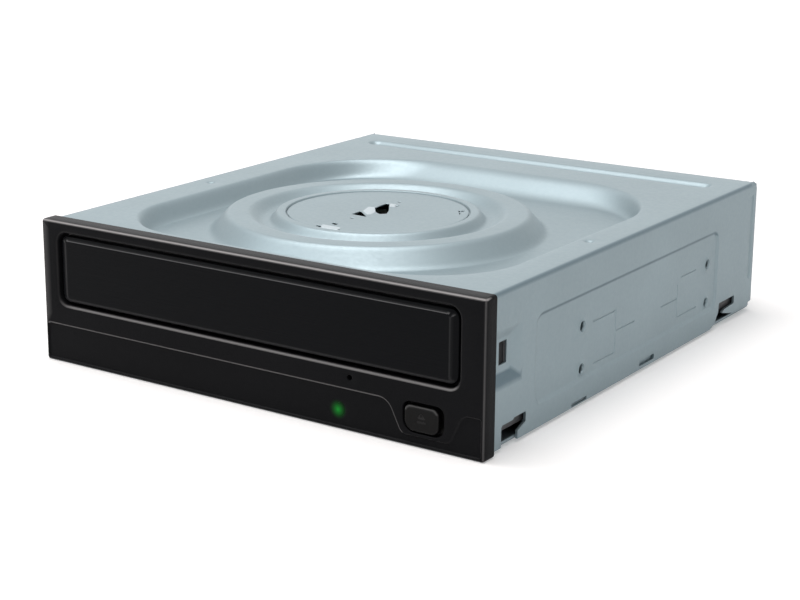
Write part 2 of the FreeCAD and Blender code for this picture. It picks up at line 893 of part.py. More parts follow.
def front_bezel():
    """The moulded front: a shallow tray turned forward, with the tray's opening, and a latch at each side."""
    half = bezel_width / 2
    shell = box(-half, half, 0, bezel_depth, 0, bezel_height)
    front_edges = [e for e in shell.Edges if near(e.CenterOfMass.y, 0)]
    shell = shell.makeChamfer(bezel_edge, front_edges)
    pocket = box(-half_body + 0.1, half_body - 0.1, bezel_wall, bezel_depth + 1, 1.4, bezel_height - 1.4)
    opening = prism(rectangle(-tray_opening_half, tray_opening_half, tray_opening_low, tray_opening_high,
                              tray_opening_corner, facing(-1)), y=bezel_depth + 2)
    band = prism(outline(band_outline(), facing(-1)), y=1 + band_drop)
    button_hole = prism(button_outline(button_gap, facing(-1)), y=bezel_depth + 2)
    lamp_hole = prism(rectangle(lamp_x - lamp_width / 2 - lamp_gap, lamp_x + lamp_width / 2 + lamp_gap,
                                lamp_z - lamp_height / 2 - lamp_gap, lamp_z + lamp_height / 2 + lamp_gap,
                                lamp_width / 2 - 0.01, facing(-1)), y=bezel_depth)
    emergency = round_bar(emergency_x, -1, emergency_z, emergency_r, bezel_depth, "y")
    shell = shell.cut([pocket, opening, band, button_hole, lamp_hole, emergency])
    latch_outer = latch_wall_inside - bezel_latch_gap
    latches = []
    tongue = box(latch_outer - bezel_latch_thick, latch_outer, bezel_wall - 0.5, latch_hole_rear + 0.6,
                 bezel_latch_low, bezel_latch_high)
    hook = [
        (latch_hole_front + 0.3, latch_outer - 0.3),
        (latch_hole_rear - 0.2, latch_outer - 0.3),
        (latch_hole_rear - 0.2, latch_outer + 0.1),
        (latch_hole_front + 0.3, latch_outer + bezel_latch_hook),
    ]
    hook = prism(polygon(hook, lambda a, b: Vector(b, a, latch_hole_low + 0.3)),
                 z=latch_hole_high - latch_hole_low - 0.6)
    latches += [tongue, hook]
    return joined([shell] + both_sides(latches))


def tray_panel_box():
    gap = tray_panel_gap
    return (-tray_opening_half + gap, tray_opening_half - gap,
            tray_opening_low + gap * 0.9, tray_opening_high - gap)


def tray_panel():
    """The tray's front plate, bevelled all round, with two clips that hook on the tray."""
    a0, a1, b0, b1 = tray_panel_box()
    bevel, front = tray_panel_bevel, tray_panel_front
    corner = tray_panel_corner
    plate = prism(rectangle(a0, a1, b0, b1, corner, facing(front + bevel * 0.7)),
                  y=tray_panel_thick - bevel * 0.7)
    face = Part.makeLoft([
        rectangle(a0, a1, b0, b1, corner, facing(front + bevel * 0.7)),
        rectangle(a0 + bevel, a1 - bevel, b0 + bevel, b1 - bevel, corner - bevel, facing(front)),
    ], True, True)
    back = front + tray_panel_thick
    clip_top = tray_bottom - 0.1
    clips = [box(panel_clip_inner, panel_clip_outer, back - 0.1, back + panel_clip_length,
                 clip_top - panel_clip_thick, clip_top)]
    return joined([plate, face] + both_sides(clips))


def gear_outline(teeth, module, centre_x, centre_y, tooth_at, z):
    """An involute gear's outline, with one tooth centred at the angle tooth_at, in degrees.

    A flank's point at radius r turns by the involute function of its pressure angle there, and
    each tooth is thinner than half a pitch by the backlash.
    """
    pitch_r = module * teeth / 2
    base_r = pitch_r * math.cos(math.radians(gear_pressure))
    tip_r, root_r = pitch_r + module * 0.95, pitch_r - module * 1.2

    def involute(angle):
        return math.tan(angle) - angle

    half_tooth = math.pi / (2 * teeth) - backlash / (2 * pitch_r)
    at_pitch = involute(math.radians(gear_pressure))
    flank = []
    low = max(base_r, root_r + 0.05)
    for step in range(4):
        r = low + (tip_r - low) * step / 3
        here = involute(math.acos(min(1.0, base_r / r)))
        flank.append((r, half_tooth + at_pitch - here))
    points = []
    for tooth in range(teeth):
        middle = math.radians(tooth_at) + 2 * math.pi * tooth / teeth
        half_root = flank[0][1] * 1.06
        rise = [(root_r, -half_root)] + [(r, -a) for r, a in flank]
        fall = [(r, a) for r, a in reversed(flank)] + [(root_r, half_root)]
        points += [(centre_x + r * math.cos(middle + a), centre_y + r * math.sin(middle + a))
                   for r, a in rise + fall]
    return polygon(points, flat(z))


def tray_rack():
    """The toothed bar under the tray's left edge, whose gaps meet the drive gear's teeth at rest."""
    pitch = math.pi * rack_module
    lean = math.tan(math.radians(gear_pressure))
    tip = rack_pitch_x + rack_module * 0.95
    root = rack_pitch_x - rack_module * 1.2
    back = rack_pitch_x - rack_back
    first = math.ceil((tray_panel_front + tray_panel_thick + 6 - rack_gear_y) / pitch - 0.5)
    last = math.floor((tray_rear - 1 - rack_gear_y) / pitch - 0.5)
    half_pitch_line = pitch / 4 - backlash / 2
    points = []
    for n in range(first, last):
        middle = rack_gear_y + pitch * (n + 0.5)
        half_tip = half_pitch_line - (tip - rack_pitch_x) * lean
        half_root = half_pitch_line + (rack_pitch_x - root) * lean
        points += [(root, middle - half_root), (tip, middle - half_tip), (tip, middle + half_tip),
                   (root, middle + half_root)]
    start, end = points[0][1] - 0.4, points[-1][1] + 0.4
    points = [(back, start), (root, start)] + points + [(root, end), (back, end)]
    return prism(polygon(points, flat(tray_bottom)), z=tray_under + 1.0 - tray_bottom)


def disc_tray():
    """The drawer: a moulded deck with skirts, stepped recesses for the two disc sizes and a slot
    that is open at the back for the turntable and the pickup."""
    front = tray_panel_front + tray_panel_thick
    body = box(-tray_half, tray_half, front, tray_rear, tray_bottom, tray_top)
    body = rounded_along(body, tray_corner, lambda c: near(c.y, tray_rear) and near(abs(c.x), tray_half))
    inside = tray_half - tray_skirt
    hollow = box(-inside, inside, front + tray_skirt, tray_rear + 1, tray_bottom - 1, tray_under)
    deep = box(-inside, inside, front + tray_skirt, tray_rear - tray_skirt, tray_bottom - 1, tray_top - tray_deck)
    deep = deep.cut(round_bar(spindle_x, spindle_y, 0, disc_recess_r + recess_rim, 50))
    slot_wall = box(spindle_x - tray_slot_half - 2, spindle_x + tray_slot_half + 2, spindle_y, tray_rear + 1, 0, 50)
    body = body.cut([hollow, deep.cut(slot_wall)])
    ribs = [box(x, x + tray_rib_thick, tray_rear - 1 - length, tray_rear - 1, tray_under, tray_top - 0.5)
            for x, length in tray_ribs]
    carried = box(rack_pitch_x - rack_back, rack_pitch_x - rack_module * 1.2, front + rack_rib_from_panel,
                  tray_rear - 2,
                  tray_under - 0.1, tray_top - 0.5)
    body = body.multiFuse(both_sides(ribs) + [tray_rack(), carried])
    slot_front = round_bar(spindle_x, spindle_y, 0, tray_slot_front_r, 50)
    cuts = [
        round_bar(spindle_x, spindle_y, disc_recess_floor, disc_recess_r, 10),
        round_bar(spindle_x, spindle_y, small_recess_floor, small_recess_r, 10),
        slot_front,
        box(spindle_x - tray_slot_half, spindle_x + tray_slot_half, spindle_y, tray_rear + 1, 0, 50),
    ]
    return body.cut(cuts).removeSplitter()


def boss_places():
    board = [(x, y) for x in (-board_screw_x, board_screw_x) for y in (board_screw_front, board_screw_rear)]
    return cover_screw_places(), board


def main_frame():
    """The moulded chassis: two side walls with the tray's rails and lips, a floor with the well for the
    lift frame, pins for the gears, ears for the pivot and bosses for the screws."""
    outer, inner = frame_outer, frame_inner
    pieces = []
    wall = box(inner, outer, frame_front, frame_rear, flange_top + frame_over_flange, frame_top)
    rail_top = tray_bottom - rail_gap
    rail = box(rail_inner, inner + 0.1, frame_front + 3.4, frame_rear, rail_low, rail_top)
    pieces += [wall, rail]
    for start in lip_places:
        pieces.append(box(rail_inner, inner + 0.1, start, start + lip_length,
                          tray_top + lip_gap, tray_top + lip_gap + lip_thick))
    guide = box(tray_half + lip_gap, inner + 0.1, frame_front + 3.4, frame_rear, rail_low, tray_top + lip_gap + 0.2)
    pieces.append(guide)
    ear = box(well_half + 0.3, well_half + 2.6, pivot_y - 5, pivot_y + 5, pivot_z - 4, floor_bottom + 0.1)
    pieces.append(ear)
    for x, y in cover_screw_places():
        if x > 0:
            pieces.append(round_bar(x, y, inside_floor + cover_screw_head, boss_r,
                                    floor_bottom - inside_floor - cover_screw_head + 0.1))
    for x, y in boss_places()[1]:
        if x > 0:
            pieces.append(round_bar(x, y, board_top, boss_r, floor_bottom - board_top + 0.1))
    pieces = both_sides(pieces)
    floor = box(-inner - 0.1, inner + 0.1, frame_front + 5, frame_rear, floor_bottom, floor_top)
    floor = floor.cut(prism(rectangle(-well_half, well_half, well_front, well_rear, 3.0, flat(0)), z=30))
    pieces.append(floor)
    pieces.append(box(-inner - 0.1, inner + 0.1, frame_front, frame_front + front_beam, front_beam_low, frame_top))
    slider_back = slider_front + slider_thick
    pieces.append(box(slider_left + 4, slider_right - 9, slider_front - slider_gap - 1.2,
                      slider_front - slider_gap, 6.0, floor_bottom + 0.1))
    for start in (-30.0, 16.0):
        pieces.append(box(start, start + 14, slider_back + slider_gap, slider_back + slider_gap + 1.0,
                          7.0, floor_bottom + 0.1))
    for x, y, top in ((rack_gear_x, rack_gear_y, tray_under - 0.6), (pulley_x, pulley_y, belt_z + 1.6)):
        pieces.append(round_bar(x, y, floor_top - 0.1, gear_pin_r, top - floor_top + 0.1))
        pieces.append(round_bar(x, y, floor_top - 0.1, gear_pin_r + 1.2, gear_gap - 0.1))
    for x in (front_board_left + 4, front_board_right - 8):
        post = box(x, x + 4, front_board_y - 1.2, front_board_y + front_board_thick + 1.2,
                   front_board_high - 3.5, floor_bottom + 0.1)
        slot = box(x - 1, x + 5, front_board_y - 0.05, front_board_y + front_board_thick + 0.05,
                   0, front_board_high + 0.05)
        pieces.append(post.cut(slot))
    frame = joined(pieces)
    cuts = [round_bar(motor_x, motor_y, floor_bottom - 1, 3.6, 5)]
    latch_room = box(inner - 1, outer + 1, 0, latch_hole_rear + 1.4, bezel_latch_low - 0.5, bezel_latch_high + 0.5)
    recess_room = box(latch_wall_inside - frame_gap, outer + 1, 0, latch_recess_rear + 1.2,
                      latch_recess_low - 1, latch_recess_high + 1)
    room = [latch_room, recess_room]
    for y in screw_columns:
        for z in side_screw_rows:
            room.append(round_bar(inner - 3, y, z, screw_room_r, 10, "x"))
        room.append(round_bar(bottom_screw_pitch / 2, y, 0, screw_room_r, 8))
    room.append(round_bar(well_half - 2, pivot_y, pivot_z, pivot_r + pin_clearance, 8, "x"))
    for x, y in cover_screw_places():
        if x > 0:
            room.append(round_bar(x, y, 0, cover_screw_r, cover_screw_length + 2))
    for x, y in boss_places()[1]:
        if x > 0:
            room.append(round_bar(x, y, 0, board_screw_r, board_bottom + board_screw_length + 2))
    return frame.cut(cuts + both_sides(room))


def loading_motor():
    can = round_bar(motor_x, motor_y, motor_top - motor_height, motor_r, motor_height)
    can = rounded_along(can, 1.0, lambda c: near(c.z, motor_top - motor_height))
    flat_side = [box(motor_x - 20, motor_x + 20, motor_y + motor_r - 2.0, motor_y + 20, 0, 40),
                 box(motor_x - 20, motor_x + 20, motor_y - 20, motor_y - motor_r + 2.0, 0, 40)]
    nose = round_bar(motor_x, motor_y, motor_top, 3.4, floor_top - motor_top - 0.3)
    return can.cut(flat_side).fuse(nose)


def belt_pulley(x, y, radius, bottom, width, bore):
    """A pulley with a square groove for the belt between two rims."""
    groove = belt_side + 2 * belt_gap
    low, high = bottom + (width - groove) / 2, bottom + (width + groove) / 2
    floor_r = radius - belt_side / 2 - belt_gap
    rim = radius + belt_side / 2 + pulley_rim - belt_gap
    profile = [(bore, bottom), (rim, bottom), (rim, low), (floor_r, low), (floor_r, high), (rim, high),
               (rim, bottom + width), (bore, bottom + width)]
    return turned(profile, x, y)


def motor_pulley():
    pulley = belt_pulley(motor_x, motor_y, motor_pulley_r, pulley_bottom, pulley_width, motor_shaft_r)
    shaft = round_bar(motor_x, motor_y, floor_top - 0.1, motor_shaft_r, pulley_bottom + pulley_width - floor_top)
    return pulley.fuse(shaft)


def drive_belt():
    """A square rubber belt, straight between its two half turns round the pulleys."""
    span = math.hypot(motor_x - pulley_x, motor_y - pulley_y)
    way = math.atan2(motor_y - pulley_y, motor_x - pulley_x)
    lean = math.acos((pulley_r - motor_pulley_r) / span)

    def loop(grow):
        big, small = pulley_r + grow, motor_pulley_r + grow

        def on(x, y, r, angle):
            return Vector(x + r * math.cos(angle), y + r * math.sin(angle), belt_z - belt_side / 2)

        a, b = way + lean, way - lean
        return Part.Wire([
            Part.Arc(on(pulley_x, pulley_y, big, a), on(pulley_x, pulley_y, big, way + math.pi),
                     on(pulley_x, pulley_y, big, b)).toShape(),
            Part.LineSegment(on(pulley_x, pulley_y, big, b), on(motor_x, motor_y, small, b)).toShape(),
            Part.Arc(on(motor_x, motor_y, small, b), on(motor_x, motor_y, small, way),
                     on(motor_x, motor_y, small, a)).toShape(),
            Part.LineSegment(on(motor_x, motor_y, small, a), on(pulley_x, pulley_y, big, a)).toShape(),
        ])

    return prism(loop(belt_side / 2), z=belt_side).cut(prism(loop(-belt_side / 2), z=belt_side))


def pulley_gear():
    """The belt's large pulley with the small pinion under it, in one moulding."""
    pinion = prism(gear_outline(pinion_teeth, train_module, pulley_x, pulley_y,
                                pinion_angle + 180 + 180.0 / pinion_teeth, train_bottom),
                   z=pulley_bottom - train_bottom + 0.1)
    bore = gear_pin_r + pin_clearance
    pulley = belt_pulley(pulley_x, pulley_y, pulley_r, pulley_bottom, pulley_width, bore)
    return pinion.fuse(pulley).cut(round_bar(pulley_x, pulley_y, 0, bore, 50))


def drive_gear():
    """A double gear: the large one is turned by the pinion, the tall narrow one drives the tray's rack."""
    large = prism(gear_outline(large_gear_teeth, train_module, rack_gear_x, rack_gear_y,
                               pinion_angle, train_bottom), z=train_width)
    tall = prism(gear_outline(rack_gear_teeth, rack_module, rack_gear_x, rack_gear_y, 180.0, train_top - 0.1),
                 z=tray_under - gear_gap - train_top + 0.1)
    windows = []
    for i in range(5):
        angle = math.radians(72.0 * i + 20)
        r = (rack_gear_r + large_gear_r) / 2 + 0.4
        windows.append(round_bar(rack_gear_x + r * math.cos(angle), rack_gear_y + r * math.sin(angle), 0, 1.5, 50))
    bore = round_bar(rack_gear_x, rack_gear_y, 0, gear_pin_r + pin_clearance, 50)
    return large.cut(windows).fuse(tall).cut(bore)


def cam_slider():
    """A plate that slides across behind the motor: its sloping slot lowers the lift frame's pin."""
    plate = box(slider_left, slider_right, slider_front, slider_front + slider_thick, slider_bottom, slider_top)
    half = cam_pin_r + cam_clearance
    end_x, end_z = -cam_travel, pivot_z - cam_fall
    way = math.atan2(pivot_z - end_z, -end_x)
    across = (-math.sin(way) * half, math.cos(way) * half)
    points = [(0 + across[0], pivot_z + across[1]), (end_x + across[0], end_z + across[1]),
              (end_x - across[0], end_z - across[1]), (0 - across[0], pivot_z - across[1])]
    slot = prism(polygon(points, facing(slider_front - 1)), y=slider_thick + 2)
    ends = [round_bar(x, slider_front - 1, z, half, slider_thick + 2, "y") for x, z in ((0, pivot_z), (end_x, end_z))]
    lightening = [box(18, 27, slider_front - 1, slider_front + 6, 6.0, 11.5)]
    plate = plate.cut([slot] + ends + lightening)
    push_face = [(slider_right, slider_front), (slider_right - 7, slider_front), (slider_right, slider_front - 0.9)]
    return plate.fuse(prism(polygon(push_face, flat(emergency_z - 2.2)), z=2.6))


def lift_frame():
    """The plastic ring that carries the mechanism: it hinges on two pins behind and hangs on the cam."""
    ring = prism(rectangle(-lift_half, lift_half, lift_front, lift_rear, 4.0, flat(lift_bottom)),
                 z=lift_top - lift_bottom)
    window = prism(rectangle(-lift_half + lift_bar, lift_half - lift_bar, lift_front + lift_bar,
                             lift_rear - lift_bar - 2, 6.0, flat(0)), z=30)
    ring = ring.cut(window)
    pins = both_sides([round_bar(lift_half - 0.5, pivot_y, pivot_z, pivot_r,
                                 well_half + 2.4 - lift_half + 0.5, "x")])
    cam_pin = round_bar(0, slider_front, pivot_z, cam_pin_r, lift_front - slider_front + 0.5, "y")
    posts = [round_bar(x, y, lift_bottom, damper_r + 0.6, lift_top - lift_bottom) for x, y in damper_places()]
    ring = joined([ring, cam_pin] + pins + posts)
    return ring.cut([round_bar(x, y, lift_bottom - 1, damper_screw_r, 9) for x, y in damper_places()])


def damper_places():
    return [(x, y) for x in (-damper_x, damper_x) for y in (damper_front, damper_rear)]


def dampers():
    """Four rubber grommets between the lift frame and the traverse frame, whose plate sits in their necks."""
    bottom, top = lift_top, lift_top + damper_height
    neck_low, neck_high = plate_bottom, plate_top
    profile = [(damper_hole_r, bottom), (damper_r, bottom), (damper_r, neck_low), (damper_neck_r, neck_low),
               (damper_neck_r, neck_high), (damper_r, neck_high), (damper_r, top), (damper_hole_r, top)]
    return Part.makeCompound([turned(profile, x, y) for x, y in damper_places()])


def damper_screws():
    """Shouldered screws through the grommets into the lift frame."""
    top = lift_top + damper_height
    screws = []
    for x, y in damper_places():
        shank = round_bar(x, y, lift_bottom + 0.4, damper_screw_r, top - lift_bottom)
        head = round_bar(x, y, top, damper_screw_head_r, damper_screw_head)
        head = rounded_along(head, 0.5, lambda c: near(c.z, top + damper_screw_head))
        cross = [box(x - 1.8, x + 1.8, y - 0.35, y + 0.35, top + 0.6, top + 3),
                 box(x - 0.35, x + 0.35, y - 1.8, y + 1.8, top + 0.6, top + 3)]
        screws.append(shank.fuse(head).cut(cross))
    return Part.makeCompound(screws)


def traverse_frame():
    """The pressed steel deck that carries the spindle motor and the pickup's rods."""
    deck = prism(rectangle(-plate_half, plate_half, plate_front, plate_rear, plate_corner, flat(plate_bottom)),
                 z=plate_thick)
    window = prism(rectangle(plate_window_left, plate_window_right, plate_window_front, plate_window_rear, 2.0,
                             flat(0)), z=30)
    motor_hole = round_bar(spindle_x, spindle_y, 0, bearing_r + 0.4, 30)
    motor_room = box(screw_x - sled_motor_r - 0.3, screw_x + sled_motor_r + 0.3, sled_motor_front - 0.3,
                     sled_motor_front + sled_motor_length - sled_flange, 0, 30)
    necks = [round_bar(x, y, 0, damper_neck_r, 30) for x, y in damper_places()]
    flange = box(plate_half - 1.0, plate_half, plate_front + 12, plate_rear - 12, plate_bottom - 0.1, plate_top + 2.2)
    return joined([deck] + both_sides([flange])).cut([window, motor_hole, motor_room] + necks)


def rod_holders():
    """Blocks on the traverse frame that hold both rods' ends and the lead screw's far end."""
    blocks = []
    for x in (main_rod_x, side_rod_x):
        for y in (rod_front, rod_rear - rod_block_thick):
            block = box(x - rod_block / 2, x + rod_block / 2, y, y + rod_block_thick, plate_top, rod_z + rod_block / 2)
            blocks.append(block.cut(round_bar(x, y - 1, rod_z, rod_r, rod_block_thick + 2, "y")))
    end = rod_rear - rod_block_thick
    block = box(screw_x - rod_block / 2, screw_x + rod_block / 2, end, rod_rear, plate_top, screw_z + rod_block / 2)
    blocks.append(block.cut(round_bar(screw_x, end - 1, screw_z, lead_screw_r + pin_clearance,
                                      rod_block_thick + 2, "y")))
    return Part.makeCompound(blocks)


def guide_rod(x):
    return round_bar(x, rod_front, rod_z, rod_r, rod_rear - rod_front, "y")


def lead_screw():
    start = sled_motor_front + sled_motor_length + 0.1
    return round_bar(screw_x, start, screw_z, lead_screw_r, rod_rear - start, "y")


def sled_motor():
    """A small stepper that turns the lead screw, with the flange that screws it to the deck."""
    can = round_bar(screw_x, sled_motor_front, screw_z, sled_motor_r, sled_motor_length, "y")
    back = sled_motor_front + sled_motor_length
    half = sled_motor_r + sled_flange_side
    flange = box(screw_x - half, screw_x + half, back - sled_flange, back, plate_top, screw_z + sled_motor_r * 0.6)
    can = can.cut(box(screw_x - half, screw_x + half, back - sled_flange, back + 1, 0, plate_top))
    return joined([can, flange])


def spindle_motor_base():
    """A thin steel plate with the bearing tube and the round of stator poles."""
    base = prism(rectangle(spindle_x - motor_base_half, spindle_x + motor_base_half, motor_base_front,
                           motor_base_rear, 3.0,
                           flat(plate_top)), z=motor_base_thick)
    tube = round_bar(spindle_x, spindle_y, plate_bottom - 1.6, bearing_r, motor_base_top - plate_bottom + 1.6 + bearing_height)
    poles = []
    for i in range(9):
        pole = box(bearing_r - 0.3, rotor_r - rotor_wall - 1.6, -0.9, 0.9, motor_base_top + 1.6, motor_base_top + 4.2)
        pole.rotate(Vector(0, 0, 0), Vector(0, 0, 1), 40.0 * i)
        pole.translate(Vector(spindle_x, spindle_y, 0))
        poles.append(pole)
    return joined([base, tube] + poles).cut(
        round_bar(spindle_x, spindle_y, plate_bottom - 1.0, shaft_r + pin_clearance, 30))


def rotor_top():
    return motor_base_top + rotor_gap + rotor_height


def spindle_rotor():
    """The rotor's steel cup over the stator, pressed on the shaft."""
    bottom = motor_base_top + rotor_gap
    top = rotor_top()
    shaft_foot = plate_bottom - 0.8
    profile = [(0, shaft_foot), (shaft_r, shaft_foot), (shaft_r, top - rotor_wall),
               (rotor_r - rotor_wall, top - rotor_wall), (rotor_r - rotor_wall, bottom), (rotor_r, bottom),
               (rotor_r, top), (shaft_r, top), (shaft_r, turntable_bottom + 1.0), (0, turntable_bottom + 1.0)]
    return turned(profile, spindle_x, spindle_y)


def turntable():
    """The disc's seat on the shaft, with a tapered hub that centres the disc."""
    seat = turntable_seat - turntable_pad_thick
    profile = [
        (shaft_r, rotor_top()), (turntable_r * 0.55, rotor_top()), (turntable_r * 0.55, turntable_bottom),
        (turntable_r, turntable_bottom), (turntable_r, seat), (hub_r, seat),
        (hub_r, turntable_seat + 0.9), (hub_r - hub_taper, turntable_seat + hub_height),
        (2.0, turntable_seat + hub_height), (2.0, turntable_bottom + 1.0), (shaft_r, turntable_bottom + 1.0),
    ]
    return turned(profile, spindle_x, spindle_y)


def turntable_pad():
    """The rubber ring on the seat that keeps the disc from slipping."""
    seat = turntable_seat - turntable_pad_thick
    ring = round_bar(spindle_x, spindle_y, seat, turntable_r - turntable_pad_inset, turntable_pad_thick)
    return ring.cut(round_bar(spindle_x, spindle_y, seat - 1, turntable_pad_inner, 3))


def pickup_body():
    """The die-cast carriage: hollowed at the front to pass the spindle motor, with a bush on the main
    rod, a fork on the side rod and the walls round the lens."""
    y0, y1 = lens_start - pickup_length / 2, lens_start + pickup_length / 2
    left, right = spindle_x - pickup_half, spindle_x + pickup_half
    block = prism(rectangle(left, right, y0, y1, 2.5, flat(pickup_bottom)), z=pickup_top - pickup_bottom)
    arm_low = rod_z - bush_r
    arms = [
        box(main_rod_x, left + 1, y0 + 4, y1 - 1, arm_low, rod_z + bush_r),
        round_bar(main_rod_x, y0 + 4, rod_z, bush_r, y1 - y0 - 5, "y"),
        box(right - 1, side_rod_x + 2.2, lens_start - 3, lens_start + 3, arm_low + 0.4, rod_z + bush_r - 0.4),
        box(right - 1, screw_x + nut_half, lens_start + 4, lens_start + 4 + nut_length,
            nut_arm_bottom(), nut_arm_bottom() + nut_arm),
    ]
    tower = box(spindle_x - tower_half, spindle_x + tower_half, lens_start - tower_length / 2,
                lens_start + tower_length / 2, pickup_top - 0.1, tower_top)
    hollow_half = tower_half - tower_wall
    hollow = box(spindle_x - hollow_half, spindle_x + hollow_half, lens_start - tower_length / 2 + tower_wall,
                 lens_start + tower_length / 2 - tower_wall, lens_holder_bottom - lens_travel - 0.3, tower_top + 1)
    body = joined([block, tower] + arms)
    fork = box(side_rod_x - rod_r - rod_clearance, side_rod_x + 5, lens_start - 5, lens_start + 5,
               rod_z - rod_r - rod_clearance, rod_z + rod_r + rod_clearance)
    cuts = [
        hollow,
        fork,
        round_bar(main_rod_x, y0 - 5, rod_z, rod_r + rod_clearance, 60, "y"),
        round_bar(spindle_x, spindle_y, plate_bottom - 4, rotor_r + pickup_spindle_gap, 30),
    ]
    return body.cut(cuts)


def nut_arm_bottom():
    return rod_z + rod_r + nut_over_rod


def carriage_nut():
    """The follower under the carriage's right arm that sits in the lead screw's thread, open below."""
    y0 = lens_start + 4
    block = box(screw_x - nut_half, screw_x + nut_half, y0, y0 + nut_length,
                screw_z - lead_screw_r - 0.4, nut_arm_bottom())
    return block.cut([round_bar(screw_x, y0 - 1, screw_z, lead_screw_r + pin_clearance, 8, "y"),
                      box(screw_x - 0.9, screw_x + 0.9, y0 - 1, y0 + 5, screw_z - 6, screw_z)])


def lens_holder():
    """The moving frame that carries the lens on its wires over the magnets."""
    frame = box(spindle_x - lens_holder_half, spindle_x + lens_holder_half, lens_start - lens_holder_half,
                lens_start + lens_holder_half, lens_holder_bottom, lens_holder_top)
    arm_reach = tower_half - tower_wall - 0.6
    arms = box(spindle_x - arm_reach, spindle_x + arm_reach, lens_start - 1.6, lens_start + 1.6,
               lens_holder_bottom, lens_holder_bottom + 1.2)
    bore = round_bar(spindle_x, lens_start, lens_holder_bottom - 1, lens_r - 0.5, 9)
    seat = round_bar(spindle_x, lens_start, lens_holder_top - 0.8, lens_r, 3)
    return joined([frame, arms]).cut([bore, seat])


def objective_lens():
    """A small plastic lens, domed on top, in the seat of its holder."""
    bottom = lens_holder_top - 0.8
    sphere_r = (lens_r ** 2 + lens_dome ** 2) / (2 * lens_dome)
    dome = Part.makeSphere(sphere_r, Vector(spindle_x, lens_start, lens_holder_top + lens_dome - 0.2 - sphere_r))
    return round_bar(spindle_x, lens_start, bottom, lens_r, 3).common(dome)


def eject_button():
    """The key, kept behind the bezel by a flange, with a stem towards its switch."""
    cap = prism(button_outline(0.0, facing(button_front)), y=bezel_wall + 0.2 - button_front)
    flange = prism(button_outline(button_flange + button_gap, facing(bezel_wall + 0.1)), y=button_flange_thick)
    stem_end = switch_front() - button_travel - 0.1
    stem = round_bar(button_x, bezel_wall, button_z, button_stem_r, stem_end - bezel_wall, "y")
    return joined([cap, flange, stem])


def switch_front():
    return front_board_y - 1.8


def eject_switch():
    """A push switch on the front board, in line with the button's stem."""
    half = switch_side / 2
    body = box(button_x - half, button_x + half, switch_front() + 0.6, front_board_y, button_z - half, button_z + half)
    return body.fuse(round_bar(button_x, switch_front(), button_z, 1.7, 0.7, "y"))


def status_lamp():
    half = 1.3
    return box(lamp_x - half, lamp_x + half, front_board_y - 0.9, front_board_y, lamp_z - 0.8, lamp_z + 0.8)


def light_guide():
    """A clear pillar from the lamp to the bezel's face."""
    a0, a1 = lamp_x - lamp_width / 2, lamp_x + lamp_width / 2
    b0, b1 = lamp_z - lamp_height / 2, lamp_z + lamp_height / 2
    start = band_drop - 0.05
    end = front_board_y - 0.9 - 0.1
    bar = prism(rectangle(a0, a1, b0, b1, lamp_width / 2 - 0.01, facing(start)), y=end - start)
    collar = box(a0 - 1, a1 + 1, bezel_wall, bezel_wall + 0.8, b0 - 0.7, b1 + 0.7)
    return joined([bar, collar])


def front_board():
    return box(front_board_left, front_board_right, front_board_y, front_board_y + front_board_thick,
               front_board_low, front_board_high)


def main_board():
    """The circuit board under the mechanism, cut round the cover's bosses."""
    board = box(-board_half, board_half, board_front, board_rear, board_bottom, board_top)
    cuts = [round_bar(x, y, 0, boss_r + 0.4, 20) for x, y in cover_screw_places()]
    cuts += [round_bar(x, y, 0, board_screw_r + 0.1, 20) for x, y in boss_places()[1]]
    return board.cut(cuts)


def board_screws():
    screws = []
    for x, y in boss_places()[1]:
        head = round_bar(x, y, board_bottom - board_screw_head, board_screw_head_r, board_screw_head)
        shank = round_bar(x, y, board_bottom - 0.5, board_screw_r, board_screw_length)
        screws.append(head.fuse(shank))
    return Part.makeCompound(screws)


def chip(place, height):
    """A flat block on the board: place holds its x, its way from the board's rear edge, width and depth."""
    x, y, width, depth = place[0], board_rear - place[1], place[2], place[3]
    body = box(x - width / 2, x + width / 2, y - depth / 2, y + depth / 2, board_top, board_top + height)
    return body.makeChamfer(chip_edge, [e for e in body.Edges if near(e.CenterOfMass.z, board_top + height)])


def controller_chip():
    return chip(controller_place, controller_height)


def small_chips():
    return Part.makeCompound([chip(place, small_chip_height) for place in small_chip_places])


def capacitors():
    """Three can capacitors on the board's rear edge, each with its crimped neck."""
    cans = []
    r, neck_r, top = capacitor_r, capacitor_r - capacitor_neck, board_top + capacitor_height
    profile = [(0, board_top), (r, board_top), (r, board_top + 0.9), (neck_r, board_top + 1.1),
               (r, board_top + 1.4), (r, top - 0.3), (neck_r, top), (0, top)]
    for x in capacitor_places:
        cans.append(turned(profile, x, board_rear - capacitor_inset))
    return Part.makeCompound(cans)


def socket_pockets():
    """The two mouths of the rear socket: where each starts and how wide it is."""
    power_start = socket_left + socket_wall
    data_start = socket_right - socket_wall - data_width
    return ((power_start, power_width, 15), (data_start, data_width, 7))


def rear_socket():
    """The board's plug for the computer's data and power cables, a tongue in each of its two mouths."""
    back = body_rear - 0.6
    top = board_top + socket_height
    body = box(socket_left, socket_right, back - socket_depth, back, board_top, top)
    cuts = []
    tongues = []
    middle = board_top + socket_height / 2
    for start, width, _ in socket_pockets():
        cuts.append(box(start, start + width, back - socket_pocket, back + 1,
                        board_top + socket_wall, top - socket_wall))
        tongues.append(box(start + 0.5, start + width - 1.6, back - socket_pocket - 0.1, back - 0.6,
                           middle - tongue_thick / 2, middle + tongue_thick / 2))
    return joined([body.cut(cuts)] + tongues)


